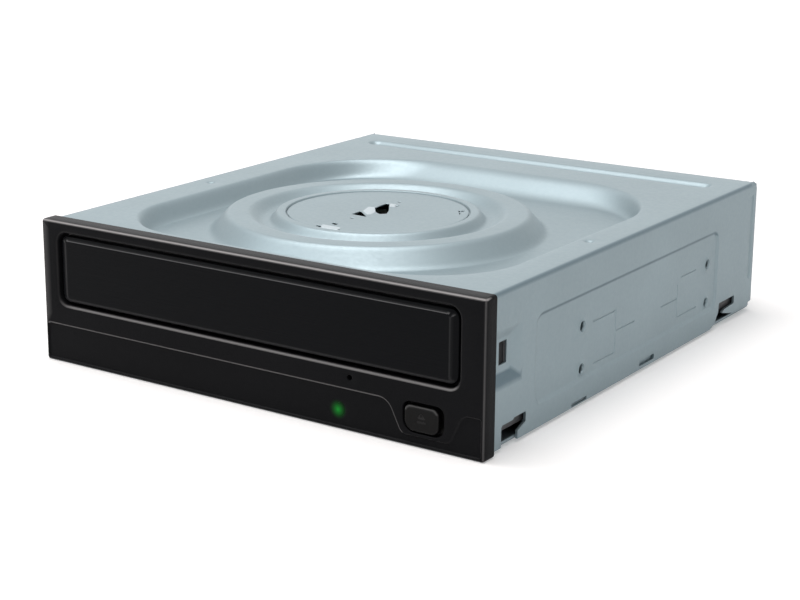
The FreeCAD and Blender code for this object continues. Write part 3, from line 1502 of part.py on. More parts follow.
def socket_contacts():
    """The gold contacts that lie on the socket's tongues, in one row a tongue."""
    back = body_rear - 0.6
    bottom = board_top + socket_height / 2 + tongue_thick / 2
    strips = []
    for start, width, count in socket_pockets():
        first = start + (width - 1.1 - contact_pitch * (count - 1)) / 2
        for i in range(count):
            x = first + contact_pitch * i
            strips.append(box(x - contact_width / 2, x + contact_width / 2, back - socket_pocket + 0.1, back - 1.2,
                              bottom, bottom + contact_thick))
    return Part.makeCompound(strips)


pieces = {
    "top_cover": top_cover, "bottom_cover": bottom_cover, "cover_screws": cover_screws,
    "clamp_plate": clamp_plate, "clamper_holder": clamper_holder, "clamper": clamper,
    "clamper_yoke": clamper_yoke, "front_bezel": front_bezel, "tray_panel": tray_panel,
    "disc_tray": disc_tray, "main_frame": main_frame, "loading_motor": loading_motor,
    "motor_pulley": motor_pulley, "drive_belt": drive_belt, "pulley_gear": pulley_gear,
    "drive_gear": drive_gear, "cam_slider": cam_slider, "lift_frame": lift_frame, "dampers": dampers,
    "damper_screws": damper_screws, "traverse_frame": traverse_frame, "rod_holders": rod_holders,
    "main_guide_rod": lambda: guide_rod(main_rod_x), "side_guide_rod": lambda: guide_rod(side_rod_x),
    "lead_screw": lead_screw, "sled_motor": sled_motor, "spindle_motor_base": spindle_motor_base,
    "spindle_rotor": spindle_rotor, "turntable": turntable, "turntable_pad": turntable_pad,
    "pickup_body": pickup_body, "carriage_nut": carriage_nut, "lens_holder": lens_holder,
    "objective_lens": objective_lens, "eject_button": eject_button, "eject_switch": eject_switch,
    "status_lamp": status_lamp, "light_guide": light_guide, "front_board": front_board,
    "main_board": main_board, "board_screws": board_screws, "controller_chip": controller_chip,
    "small_chips": small_chips, "capacitors": capacitors, "rear_socket": rear_socket,
    "socket_contacts": socket_contacts,
}
for name, make in pieces.items():
    place_node(name, make())
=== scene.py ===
import bpy
import math
import numpy as np
from mathutils import Matrix, Vector
from mathutils.geometry import delaunay_2d_cdt


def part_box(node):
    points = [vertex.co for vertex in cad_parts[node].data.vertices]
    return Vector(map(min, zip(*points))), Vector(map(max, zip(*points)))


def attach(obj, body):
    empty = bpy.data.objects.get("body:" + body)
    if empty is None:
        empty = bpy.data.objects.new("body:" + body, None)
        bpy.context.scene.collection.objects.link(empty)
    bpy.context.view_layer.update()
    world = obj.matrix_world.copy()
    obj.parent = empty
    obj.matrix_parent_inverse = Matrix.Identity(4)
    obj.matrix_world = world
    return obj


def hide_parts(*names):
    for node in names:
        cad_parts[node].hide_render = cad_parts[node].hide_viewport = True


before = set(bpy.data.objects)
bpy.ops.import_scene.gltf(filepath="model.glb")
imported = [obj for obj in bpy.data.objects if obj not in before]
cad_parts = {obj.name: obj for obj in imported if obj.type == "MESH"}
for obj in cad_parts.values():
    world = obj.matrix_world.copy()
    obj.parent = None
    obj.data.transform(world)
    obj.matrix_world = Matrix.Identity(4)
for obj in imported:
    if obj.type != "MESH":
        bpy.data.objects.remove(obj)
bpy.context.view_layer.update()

# Top cover: one sheet of zinc-plated steel 0.7 mm thick, pressed with the wide hollow and the round relief
# over the spindle, then folded down at both sides and behind. Its flat blank is meshed with rows of points
# that follow each pressed form, and every point is then pressed in and folded to its place.
face_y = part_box("front_bezel")[0].y


def placed(points):
    """Millimetres from the bezel's face and lower edge, as the frame's metres."""
    return np.asarray(points, float) * 0.001 + np.array([0.0, face_y, 0.0])


def rounded_loop(low, high, radii, arc=16, runs=(8, 8, 8, 8)):
    """Points round a rectangle, from the corner of its two low values counterclockwise: each corner is a
    quarter circle of its own radius, and the straight runs between them are divided evenly."""
    (a0, b0), (a1, b1) = low, high
    arcs = []
    corners = ((a0, b0, 1, 1, 180), (a1, b0, -1, 1, 270), (a1, b1, -1, -1, 0), (a0, b1, 1, -1, 90))
    for (a, b, to_a, to_b, start), r in zip(corners, radii):
        angle = np.radians(start + np.linspace(0, 90, arc))
        arcs.append(np.stack([a + to_a * r + r * np.cos(angle), b + to_b * r + r * np.sin(angle)], 1))
    loop = []
    for k in range(4):
        end, start = arcs[k][-1], arcs[(k + 1) % 4][0]
        share = np.linspace(0, 1, runs[k] + 2)[1:-1, None]
        loop += [arcs[k], end + share * (start - end)]
    return np.concatenate(loop)


def divided(corners, step, closed=True):
    """A line of corners with each straight part divided into steps no longer than the one given."""
    ends = np.roll(corners, -1, 0) if closed else corners[1:]
    parts = []
    for start, end in zip(corners, ends):
        count = max(1, math.ceil(np.hypot(*(end - start)) / step))
        parts.append(start + np.linspace(0, 1, count, endpoint=False)[:, None] * (end - start))
    return np.concatenate(parts if closed else parts + [corners[-1:]])


def inside(points, loop):
    """True for each point from which a level line to the right crosses the closed loop an odd number
    of times."""
    a, b = loop, np.roll(loop, -1, 0)
    x, y = points[:, 0:1], points[:, 1:2]
    spans = (a[:, 1] > y) != (b[:, 1] > y)
    rise = np.where(a[:, 1] == b[:, 1], 1.0, b[:, 1] - a[:, 1])
    crossing = a[:, 0] + (y - a[:, 1]) * (b[:, 0] - a[:, 0]) / rise
    return np.sum(spans & (x < crossing), 1) % 2 == 1


def eased(d, run, first, last):
    """From 0 to 1 along a slope of length run: straight, with a round of half width first where it starts
    and of half width last where it ends. A round is the parabola (d + w) squared over 4 w."""
    def bend(t, w):
        return np.where(t < -w, 0.0, np.where(t > w, t, (t + w) ** 2 / (4 * w)))
    return (bend(d, first) - bend(d - run, last)) / run


def across_slope(run, first, last):
    """Where rows of points go across such a slope: close on both rounds, one or two between them."""
    rows = np.concatenate([np.linspace(-first, first, 6), [run / 2], np.linspace(run - last, run + last, 6)])
    return np.unique(np.round(rows, 4))


def inset_loop(low, high, radii, inset, arc, runs, least=0.1):
    """A rounded rectangle moved in by a distance; each radius shrinks by as much, down to the least."""
    (a0, b0), (a1, b1) = low, high
    return rounded_loop((a0 + inset, b0 + inset), (a1 - inset, b1 - inset),
                        [max(r - inset, least) for r in radii], arc, runs)


def lattice(across, along):
    """Points (a, b) of a grid over two ranges."""
    return np.stack(np.meshgrid(across, along), -1).reshape(-1, 2)


def tube_faces(rows, around, closed=False):
    """Quads between rings of points: each ring is joined to the next, and if closed the last to the first."""
    i, j = np.meshgrid(np.arange(rows if closed else rows - 1), np.arange(around), indexing="ij")
    near, far, beside = i * around, (i + 1) % rows * around, (j + 1) % around
    return np.stack([near + j, far + j, far + beside, near + beside], -1).reshape(-1, 4)


class Blank:
    """A sheet collected as points, each with its place in the flat blank and in the finished piece."""

    def __init__(self):
        self.flat, self.solid, self.edges, self.count = [], [], [], 0

    def add(self, flat, solid, line=None):
        """Add points; line "closed" or "open" keeps an edge between each point and the next."""
        index = np.arange(len(flat)) + self.count
        if line:
            pairs = np.stack([index, np.roll(index, -1)], 1)
            self.edges.append(pairs if line == "closed" else pairs[:-1])
        self.flat.append(flat)
        self.solid.append(solid)
        self.count += len(flat)

    def cut(self, outline, holes):
        """Triangles between all the points, without those outside the outline or inside a hole."""
        flat, solid = np.concatenate(self.flat), np.concatenate(self.solid)
        edges = np.concatenate(self.edges)
        made = delaunay_2d_cdt([Vector(p) for p in flat.tolist()], edges.tolist(), [], 0, 1e-5)
        places = np.array([tuple(p) for p in made[0]])
        source = np.array([o[0] if o else -1 for o in made[3]])
        for i in np.flatnonzero(source < 0):
            source[i] = np.argmin(np.sum((flat - places[i]) ** 2, 1))
        triangles = np.array(made[2])
        middle = places[triangles].mean(1)
        keep = inside(middle, outline)
        for hole in holes:
            keep &= ~inside(middle, hole)
        triangles = source[triangles[keep]]
        used, index = np.unique(triangles, return_inverse=True)
        return solid[used], index.reshape(-1, 3)


def unit(rows):
    """Each row as a vector scaled to a length of one."""
    return rows / np.linalg.norm(rows, axis=1)[:, None]


def shell(points, triangles, thickness):
    """A closed wall: a second skin one thickness behind each point, along the mean of the normals of the
    faces round it, and a rim that joins the two skins along every open edge."""
    corners = points[triangles]
    normal = np.cross(corners[:, 1] - corners[:, 0], corners[:, 2] - corners[:, 0])
    mean = np.zeros_like(points)
    for k in range(3):
        np.add.at(mean, triangles[:, k], normal)
    mean = unit(mean)
    count = len(points)
    edges = np.concatenate([triangles[:, [0, 1]], triangles[:, [1, 2]], triangles[:, [2, 0]]])
    there = edges[:, 0] * count + edges[:, 1]
    back = edges[:, 1] * count + edges[:, 0]
    rim = edges[~np.isin(there, back)]
    quads = np.stack([rim[:, 1], rim[:, 0], rim[:, 0] + count, rim[:, 1] + count], 1)
    faces = triangles.tolist() + (triangles[:, ::-1] + count).tolist() + quads.tolist()
    return np.concatenate([points, points - mean * thickness]), faces


def in_scene(name, data):
    """A new object of some data, in the scene."""
    made = bpy.data.objects.new(name, data)
    bpy.context.scene.collection.objects.link(made)
    return made


def piece(name, points, faces, body, material, replaced, edges=None, sharp=38.0):
    """An object of points in millimetres, smooth but for edges sharper than an angle. Where a piece's edges
    get painted light or painted shade, their weight at each point is kept as its attribute."""
    mesh = bpy.data.meshes.new(name)
    mesh.from_pydata(placed(points).tolist(), [], faces)
    if edges is not None:
        mesh.attributes.new("edge", "FLOAT", "POINT").data.foreach_set("value", edges.astype(np.float32))
    mesh.validate()
    mesh.shade_smooth()
    mesh.set_sharp_from_angle(angle=math.radians(sharp))
    mesh.materials.append(material)
    made = in_scene(name, mesh)
    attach(made, body)
    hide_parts(*replaced)


def add_parts(points, faces, more):
    """Further closed parts, each a pair of points and faces, added to a piece's own."""
    for extra, extra_faces in more:
        faces = faces + [[i + len(points) for i in face] for face in extra_faces]
        points = np.concatenate([points, extra])
    return points, faces


def feed(tree, target, sockets):
    """Gives a node's input sockets their constants, or links from the outputs named for them."""
    for socket, value in sockets.items():
        if isinstance(value, bpy.types.NodeSocket):
            tree.links.new(value, target.inputs[socket])
        else:
            target.inputs[socket].default_value = value


def node(tree, kind, sockets, **settings):
    """A new node of a shader, with its settings and with what feeds its input sockets."""
    made = tree.nodes.new(kind)
    for name, value in settings.items():
        setattr(made, name, value)
    feed(tree, made, sockets)
    return made


def finish(name, colour, rough, metal=0.0, grain=0.02, grain_size=400.0, stretch=(1, 1, 1), vary=0.06,
           vary_size=18.0, coat=0.0, specular=0.5, rough_vary=0.08):
    """A material on the object's own coordinates: broad noise varies its colour by a share, and fine noise,
    which may be stretched along an axis as brushing or rolling leaves it, its roughness and its bump."""
    made = bpy.data.materials.new(name)
    made.use_nodes = True
    tree = made.node_tree
    place = node(tree, "ShaderNodeTexCoord", {}).outputs["Object"]
    broad = node(tree, "ShaderNodeTexNoise", {"Vector": place, "Scale": vary_size, "Detail": 4.0})
    shades = node(tree, "ShaderNodeValToRGB", {"Fac": broad.outputs["Fac"]})
    for stop, position, share in zip(shades.color_ramp.elements, (0.3, 0.7), (1 - vary, 1 + vary)):
        stop.color = (*(min(1.0, c * share) for c in colour), 1)
        stop.position = position
    stretched = node(tree, "ShaderNodeMapping", {"Vector": place, "Scale": stretch})
    fine = node(tree, "ShaderNodeTexNoise", {
        "Vector": stretched.outputs["Vector"], "Scale": grain_size, "Detail": 3.0}).outputs["Fac"]
    roughness = node(tree, "ShaderNodeMapRange", {
        "Value": fine, "To Min": max(0.02, rough - rough_vary), "To Max": rough + rough_vary})
    bump = node(tree, "ShaderNodeBump", {"Height": fine, "Strength": grain, "Distance": 0.0002})
    feed(tree, tree.nodes["Principled BSDF"], {
        "Base Color": shades.outputs["Color"], "Roughness": roughness.outputs["Result"],
        "Normal": bump.outputs["Normal"], "Metallic": metal, "Coat Weight": coat,
        "Specular IOR Level": specular})
    return made


def paint_edge_light_and_shade(material, colour):
    """Mixes in another colour by the piece's own edge weight, as painted light or shade: a painted highlight
    along a moulding's or the plate's edges, painted shade along the cover's folds and creases. The mix takes
    its colours at sockets 6 and 7 and gives the result at 2."""
    tree = material.node_tree
    shader = tree.nodes["Principled BSDF"]
    weight = node(tree, "ShaderNodeAttribute", {}, attribute_name="edge")
    own = shader.inputs["Base Color"].links[0].from_socket
    mixed = node(tree, "ShaderNodeMix", {0: weight.outputs["Fac"], 6: own, 7: (*colour, 1)}, data_type="RGBA")
    feed(tree, shader, {"Base Color": mixed.outputs[2]})


def hump(d, at, wide):
    """One where d is at a place, and nothing from wide away on: (1 - ((d - at) / wide) squared) squared."""
    return np.clip(1 - ((d - at) / wide) ** 2, 0, 1) ** 2


def outside(points, low, high, radius):
    """How far points of (x, z) lie outside a rectangle with rounded corners: less than zero inside it."""
    low, high = np.array(low) + radius, np.array(high) - radius
    middle, half = (low + high) / 2, (high - low) / 2
    q = np.abs(points - middle) - half
    return np.linalg.norm(np.maximum(q, 0), axis=1) + np.minimum(q.max(1), 0) - radius


zinc_look = dict(colour=(0.258, 0.322, 0.348), rough=0.50, metal=0.80, grain=0.10, grain_size=900.0,
                 vary=0.035, vary_size=30.0)
zinc = finish("zinc_plated_sheet", **zinc_look)
# painted shade: a darker blue-grey mixed in along the cover's folds, the latch recess's lower slope and the
# panel's creases
paint_edge_light_and_shade(zinc, (0.085, 0.135, 0.165))

# millimetres: the sheet, the radius outside its folds, and where the blank's fold lines lie
sheet, fold = 0.7, 1.3
cover_half, cover_top, cover_low, cover_front, cover_back = 73.0, 41.65, 0.9, 5.0, 166.0
fold_line, rear_line = cover_half - fold, cover_back - fold
quarter = math.pi / 2 * fold
slit, slit_end = 0.12, rear_line - 0.5
flap_low = 12.0
flap_half = fold_line - slit
flap_end = rear_line + quarter + (cover_top - fold - flap_low)
spindle = np.array([-1.8, 65.0])
dish_drop, moat_deep, seat_deep, groove_deep = 5.5, 2.5, 0.8, 1.2
seat_r, moat_r, collar_r, ring_r = 26.75, 29.4, 34.2, 44.0
dimple_x, dimple_y, dimple_r, dimple_deep = 66.3, 66.8, 1.7, 0.6
# on the side walls, as (y, height): the latch's recess, the long panel and the screw holes in it
latch_back, latch_low, latch_high = 18.9, 17.6, 31.9
latch_run, latch_rise, latch_deep = 4.2, 3.0, 1.3
panel_low, panel_high, panel_round, panel_deep = (26.7, 7.0), (138.7, 31.6), 3.6, 0.5
screw_at = [(y, z) for y in (52.4, 131.65) for z in (10.3, 22.2)]
top_blank = Blank()


def across(z):
    """How far from the middle of the flat blank a height on the side wall lies, and the other way round."""
    return fold_line + quarter + cover_top - fold - z


def on_side(loop, side):
    """A loop of (y, height) on one side wall, as it lies in the blank."""
    return np.stack([side * across(loop[:, 1]), loop[:, 0]], 1)


def folded(flat, depth):
    """A point of the blank pressed in by its depth and folded: it follows the top, then a quarter circle,
    then straight down, at the sides by its distance across and behind by its distance back."""
    s, t = flat[:, 0], flat[:, 1]
    u = np.abs(s)
    turn = np.clip((u - fold_line) / fold, 0, math.pi / 2)
    x = np.minimum(u, fold_line) + (fold - depth) * np.sin(turn)
    z = cover_top - fold + (fold - depth) * np.cos(turn) - np.maximum(u - fold_line - quarter, 0)
    flap = (u < flap_half + 0.01) & (t > rear_line)
    tip = np.where(flap, np.clip((t - rear_line) / fold, 0, math.pi / 2), 0)
    y = np.where(flap, rear_line + fold * np.sin(tip), t)
    z = np.where(flap, cover_top - fold * (1 - np.cos(tip)) - np.maximum(t - rear_line - quarter, 0), z)
    return np.stack([np.sign(s) * x, y, z], 1)


def press(row, depth, line="closed"):
    """Adds a row of points to the cover's blank, pressed in by its depth and folded, and returns it."""
    top_blank.add(row, folded(row, np.broadcast_to(depth, len(row))), line)
    return row


def press_slope(row_at, drop, run, first, last, side=None):
    """Presses rows down a slope, on a side wall if one is given: each lies where row_at puts it for its
    distance in, and is as deep as the slope is there. Returns the first row, the form's outer edge."""
    rows = across_slope(run, first, last)
    pressed = []
    for d, depth in zip(rows, drop * eased(rows, run, first, last)):
        row = row_at(d)
        pressed.append(press(row if side is None else on_side(row, side), depth))
    return pressed[0]


def recess_depth(y, z):
    """How deep the latch's recess is pressed: it falls away behind, below and above, and is open in front."""
    inward = np.minimum((z - latch_low) / latch_rise, (latch_high - z) / latch_rise)
    return latch_deep * np.clip(np.minimum((latch_back - y) / latch_run, inward), 0, 1)


def dish_row(share):
    """The wide hollow's outline at a share of its slope: moved in faster behind than at the sides."""
    aside, behind = 3.2 * share, 8.2 * share
    front, back = 28.0 - 3.5 * share, 36.0 - 12.0 * share
    return rounded_loop((-59.5 + aside, 8.0 + aside), (62.5 - aside, 133.5 - behind),
                        (front, front, back, back), 26, (22, 22, 18, 22))


def relief(r):
    """Depth of the ring, its moat and the clamp plate's seat at a distance from the spindle."""
    ring = dish_drop * eased(r - ring_r, 5.0, 0.9, 1.1)
    moat = moat_deep * (eased(r - moat_r, 2.2, 0.5, 0.6) - eased(r - collar_r, 3.3, 0.8, 0.9))
    seat = seat_deep * (1 - eased(r - seat_r, 0.3, 0.12, 0.12))
    return ring + moat + seat


def groove_row(d):
    """The long groove's outline behind the hollow, moved in."""
    return inset_loop((-64.2, 148.4), (64.0, 154.8), [3.15] * 4, d, 9, (60, 0, 60, 0))


def panel_row(d):
    """The side panel's outline as (y, height), moved in."""
    return inset_loop(panel_low, panel_high, [panel_round] * 4, d, 8, (40, 8, 40, 8))


def bead_row(d):
    """The outline of the upright bead behind the panel, moved in."""
    return rounded_loop((162.0 + d, 10.8 + d), (164.4 - d, 38.0 - d), [1.18 - d * 0.9] * 4, 5, (0, 16, 0, 16))


# outline: half of it runs from the front edge along the notched foot of the right wall to the rear edge,
# and through the slit in the corner to the flap that folds down behind
side_edge = [(cover_front, cover_low), (10.0, cover_low), (10.0, 6.2), (10.5, 6.7), (15.7, 6.7), (16.3, 7.2),
             (21.9, 7.2), (22.2, 6.9), (22.2, 4.5), (18.2, 3.1), (18.2, cover_low), (135.2, cover_low),
             (136.6, 1.3), (138.7, 2.3), (140.9, 5.1), (141.1, 7.6), (141.4, 7.9), (152.3, 7.9), (152.6, 7.6),
             (152.6, 5.6), (152.3, 5.3), (145.6, 5.0), (143.8, 4.2), (149.0, 2.9), (155.0, 2.1), (158.0, 2.1),
             (cover_back, 3.3)]
right = [(across(z), y) for y, z in side_edge]
right += [(fold_line + slit, cover_back), (fold_line + slit, slit_end), (flap_half, slit_end),
          (flap_half, flap_end)]
cover_outline = np.array(right + [(-a, b) for a, b in reversed(right)])
line = divided(cover_outline, 1.2)
press(line, recess_depth(line[:, 1], across(np.abs(line[:, 0]))))
# folds: rows along each of them, and along the flap's
fold_steps = np.arange(6.5, 165.6, 3.0)
flap_steps = np.arange(-70.0, 70.1, 3.5)
fold_turns = [quarter * k / 6 for k in range(7)]
for turned in fold_turns:
    for side in (-1, 1):
        press(lattice([side * (fold_line + turned)], fold_steps), 0.0, None)
for turned in fold_turns:
    press(lattice(flap_steps, [rear_line + 0.001 + turned]), 0.0, None)
# the wide hollow; a pressed form's outer edge and a hole's edge keep the plain points out
shares = np.unique(np.concatenate([np.linspace(-0.3, 0.3, 9), [0.4, 0.5, 0.6], np.linspace(0.68, 1.32, 9)]))
for share, depth in zip(shares, dish_drop * eased(shares, 1.0, 0.3, 0.32)):
    press(dish_row(share), depth)
dish_foot = dish_row(shares[-1])
# the round relief: rings round the spindle
ring_radii = np.concatenate([
    [24.0, 25.2, 26.3], np.linspace(26.6, 27.2, 9), [28.0], np.linspace(28.8, 32.4, 15), [33.0],
    np.linspace(33.4, 38.4, 14), [40.0, 42.0], np.linspace(43.0, 50.2, 21)])
angles = np.linspace(0, 2 * math.pi, 180, endpoint=False)
ring_way = np.stack([np.cos(angles), np.sin(angles)], 1)
for r, depth in zip(ring_radii, relief(ring_radii)):
    press(spindle + r * ring_way, depth)
relief_edge = spindle + ring_radii[-1] * ring_way
cover_holes = [spindle + ring_radii[0] * ring_way]
form_edges = [dish_row(shares[0]), relief_edge, press_slope(groove_row, groove_deep, 1.6, 0.55, 0.55)]
# two small dimples beside the spindle
for side in (-1, 1):
    for r in (0.25, 0.6, 0.9, 1.2, 1.5, 1.9):
        row = press(np.array([side * dimple_x, dimple_y]) + r * ring_way[::10],
                    dimple_deep * max(0.0, 1 - (r / dimple_r) ** 2) ** 1.3)
    form_edges.append(row)
# side walls: the long panel, the bead behind it, the latch's recess, the cut slots as (low, high), the thin
# grooves pressed between the screw holes as (start, end), and the holes, whose dishes are rows of (r, depth)
slots = [((10.1, 22.2), (13.9, 28.2)), ((87.0, 1.9), (96.4, 3.4)), ((46.8, 1.15), (55.4, 2.1))]
creases = [((58.9, 22.0), (71.3, 22.0)), ((72.0, 10.2), (72.0, 22.0)), ((59.7, 10.0), (71.3, 10.0)),
           ((72.7, 16.15), (83.5, 16.15)), ((113.9, 22.3), (123.4, 22.3)), ((111.5, 10.7), (111.5, 20.2)),
           ((112.6, 10.5), (124.8, 10.5)), ((100.9, 16.2), (110.8, 16.2))]
screw_dish = [(1.25, 0.85), (1.38, 0.50), (1.6, 0.24), (1.85, 0.26), (2.1, 0.42), (2.4, 0.5)]
for side in (-1, 1):
    form_edges.append(press_slope(panel_row, panel_deep, 0.9, 0.3, 0.3, side))
    form_edges.append(press_slope(bead_row, 0.4, 0.6, 0.25, 0.25, side))
    for f in np.linspace(0, 1, 6):
        low, back, high = latch_low + latch_rise * f, latch_back - latch_run * f, latch_high - latch_rise * f
        row = np.array([(cover_front, low), (back, low), (back, high), (cover_front, high)])
        row = press(on_side(divided(row, 1.3, closed=False), side), latch_deep * f, "open")
        if f == 0:
            form_edges.append(row)
    for low, high in slots:
        row = rounded_loop(low, high, [0.3] * 4, 4, (3, 3, 3, 3))
        cover_holes.append(press(on_side(row, side), recess_depth(row[:, 0], row[:, 1])))
    for (y0, z0), (y1, z1) in creases:
        for reach, deeper in ((0.30, 0.0), (0.12, 0.22)):
            a0, b0, a1, b1 = y0 - reach, z0 - reach, y1 + reach, z1 + reach
            row = divided(np.array([(a0, b0), (a1, b0), (a1, b1), (a0, b1)]), 1.5)
            press(on_side(row, side), panel_deep + deeper)
    for y, z in screw_at:
        rings = [press(on_side(np.array([y, z]) + r * ring_way[::8], side), depth) for r, depth in screw_dish]
        cover_holes.append(rings[0])
# plain points: between the forms, on the hollow's floor, along the groove and on the side panels
plain = lattice(np.arange(-110.0, 110.1, 4.0), np.arange(8.0, 193.0, 4.0))
keep = inside(plain, cover_outline) & (np.abs(np.abs(plain[:, 0]) - fold_line - quarter / 2) > 2.6)
keep &= np.abs(plain[:, 1] - rear_line - quarter / 2) > 2.4
for loop in form_edges + cover_holes:
    keep &= ~inside(plain, loop)
press(plain[keep], 0.0, None)
press(plain[inside(plain, dish_foot) & ~inside(plain, relief_edge)], dish_drop, None)
press(lattice(np.arange(-60.0, 60.1, 4.0), [151.6]), groove_deep, None)
on_panel = lattice(np.arange(30.0, 136.0, 4.0), np.arange(10.0, 30.0, 4.0))
for y, z in screw_at:
    on_panel = on_panel[np.hypot(on_panel[:, 0] - y, on_panel[:, 1] - z) > 2.9]
for start, end in creases:
    on_panel = on_panel[~np.all((on_panel > np.array(start) - 0.9) & (on_panel < np.array(end) + 0.9), 1)]
for side in (-1, 1):
    press(on_side(on_panel, side), panel_deep, None)
cover_points, cover_faces = shell(*top_blank.cut(cover_outline, cover_holes), sheet)
# collars behind the screw holes: rings of (r, depth) closed into a tube
collar = [(1.3, 0.72), (2.05, 1.12), (2.05, 1.95), (1.25, 1.95)]
collar_way = ring_way[::8]
collars = []
for side in (-1, 1):
    for y, z in screw_at:
        points = [np.stack([np.full(len(collar_way), side * (cover_half - depth)), y + r * collar_way[:, 0],
                            z + r * collar_way[:, 1]], 1) for r, depth in collar]
        quads = tube_faces(len(collar), len(collar_way), closed=True)[:, ::side]
        collars.append((np.concatenate(points), quads.tolist()))
cover_points, cover_faces = add_parts(cover_points, cover_faces, collars)
# painted shade weights: along the folds, on the lower slope of the latch's recess, and along the panel's
# upper and front creases, which are darkened there as if in shade
side_x, side_y, side_z = np.abs(cover_points[:, 0]), cover_points[:, 1], cover_points[:, 2]
wall = side_x > 71.0
folds = 0.75 * hump(np.hypot(side_x - cover_half, side_z - cover_top), 0.3, 1.0) * (side_y < rear_line + 0.5)
slope = wall & (side_y < 19.1 - 1.4 * (side_z - latch_low)) & (side_z > 17.4) & (side_z < 20.3)
from_panel = -outside(cover_points[:, 1:], panel_low, panel_high, panel_round)
crease = wall * hump(from_panel, 0.45, 0.75) * np.maximum(0.8 * (side_z > 30.0), 0.25 * (side_y < 28.5))
piece("pressed_top_cover", cover_points, cover_faces, "chassis", zinc, ("top_cover",),
      edges=np.maximum.reduce([folds, 0.75 * slope, crease]))

# Front bezel: one black moulding with softly rounded edges. Its lower band lies a little deeper under a line
# that dips round the eject button, the tray's opening has a rounded lip, and a latch at each side hooks the
# cover. The lamp behind it glows through the thin wall.
bezel_black = finish("bezel_moulding", (0.0080, 0.0083, 0.0094), 0.36, grain=0.25, grain_size=1500.0,
                     vary=0.12, specular=0.04, rough_vary=0.05)
bezel_half, bezel_high, bezel_deep, bezel_wall = 74.0, 42.0, 5.0, 1.0
mouth_low, mouth_high, mouth_round = (-68.2, 17.5), (66.6, 38.7), 3.2
lamp_glow = dict(at=(29.9, 0.4, 5.2), colour=(0.03, 1.0, 0.10), spread=3.0, strength=0.24)
band_deep = 0.4
front_blank = Blank()


def facing(loop, depth):
    """A loop of (x, z) set at a depth behind the bezel's face."""
    return np.stack([loop[:, 0], np.broadcast_to(depth, len(loop)).astype(float), loop[:, 1]], 1)


def contoured(blank, loop_at, stations):
    """Rows along a form: each station gives how far the row lies inward in the blank, how far inward it
    really is, and its depth. Returns the first and last row of the blank."""
    ends = []
    for flat_in, true_in, depth in stations:
        flat = loop_at(flat_in)
        blank.add(flat, facing(loop_at(true_in), depth), "closed")
        ends.append(flat)
    return ends[0], ends[-1]


def round_over(radius, far, base=0.0, steps=6):
    """Stations of an edge rounded by a quarter circle, from the flat face to a wall that ends at a depth:
    true place 1 - sin and depth 1 - cos of the angle, times the radius."""
    turn = np.linspace(0, math.pi / 2, steps)
    stations = [(radius - radius * a, radius - radius * math.sin(a), base + radius - radius * math.cos(a))
                for a in turn]
    end = stations[-1][0]
    return stations + [(end - (far - radius - base) / 2, 0.0, (far + radius + base) / 2),
                       (end - (far - radius - base), 0.0, far)]


def cornered(corners, arc=9, step=1.6):
    """A closed line through corners (a, b, radius): each corner becomes an arc that touches both sides."""
    corners = np.array(corners, float)
    points = corners[:, :2]
    to_last = unit(np.roll(points, 1, 0) - points)
    to_next = unit(np.roll(points, -1, 0) - points)
    half = np.arccos(np.clip(np.sum(to_last * to_next, 1), -1, 1)) / 2
    centre = points + unit(to_last + to_next) * (corners[:, 2] / np.sin(half))[:, None]
    reach = (corners[:, 2] / np.tan(half))[:, None]
    start, end = points + to_last * reach - centre, points + to_next * reach - centre
    parts = []
    for k in range(len(corners)):
        a0, a1 = math.atan2(start[k][1], start[k][0]), math.atan2(end[k][1], end[k][0])
        sweep = (a1 - a0 + math.pi) % (2 * math.pi) - math.pi
        turn = a0 + sweep * np.linspace(0, 1, arc)
        parts.append(centre[k] + corners[k, 2] * np.stack([np.cos(turn), np.sin(turn)], 1))
        after = (k + 1) % len(corners)
        following = np.array([parts[-1][-1], centre[after] + start[after]])
        parts.append(divided(following, step, closed=False)[1:-1])
    return np.concatenate(parts)


def moved_in(loop, distance):
    """A counterclockwise loop moved inwards, along the normal of the chord between each point's
    neighbours."""
    chord = unit(np.roll(loop, -1, 0) - np.roll(loop, 1, 0))
    return loop + distance * np.stack([-chord[:, 1], chord[:, 0]], 1)


def prism(outline, low, high, place):
    """A closed block: an outline carried from one level to another, with both ends capped."""
    n = len(outline)
    points = np.concatenate([place(outline, low), place(outline, high)])
    ring = np.arange(n)
    sides = np.stack([ring, (ring + 1) % n, (ring + 1) % n + n, ring + n], 1).tolist()
    return points, sides + [list(range(n))[::-1], list(range(n, 2 * n))]


def level(loop, z):
    """A loop of (x, y) at a height."""
    return np.stack([loop[:, 0], loop[:, 1], np.full(len(loop), float(z))], 1)


def glowing(material, at, colour, spread, strength):
    """Adds the light of a lamp behind the surface: it falls off with the distance from a point, as one
    minus distance over spread, to the power of 2.2."""
    tree = material.node_tree
    place = node(tree, "ShaderNodeTexCoord", {})
    away = node(tree, "ShaderNodeVectorMath", {0: place.outputs["Object"], 1: placed(at)},
                operation="DISTANCE")
    near = node(tree, "ShaderNodeMapRange", {
        "Value": away.outputs["Value"], "From Min": spread * 0.001, "From Max": 0.0})
    power = node(tree, "ShaderNodeMath", {0: near.outputs["Result"], 1: 2.2}, operation="POWER")
    scaled = node(tree, "ShaderNodeMath", {0: power.outputs["Value"], 1: strength}, operation="MULTIPLY")
    feed(tree, tree.nodes["Principled BSDF"], {
        "Emission Strength": scaled.outputs["Value"], "Emission Color": (*colour, 1)})


def to_closed_line(points, line):
    """For each point, how far the nearest place on a closed line is, and that place: on each straight run it
    is the foot of the perpendicular, held between the run's ends."""
    run = np.roll(line, -1, 0) - line
    share = np.sum((points[:, None] - line) * run, 2) / np.maximum(np.sum(run ** 2, 1), 1e-9)
    foot = line + np.clip(share, 0, 1)[:, :, None] * run
    away = np.linalg.norm(points[:, None] - foot, axis=2)
    nearest = np.argmin(away, 1)
    rows = np.arange(len(points))
    return away[rows, nearest], foot[rows, nearest]


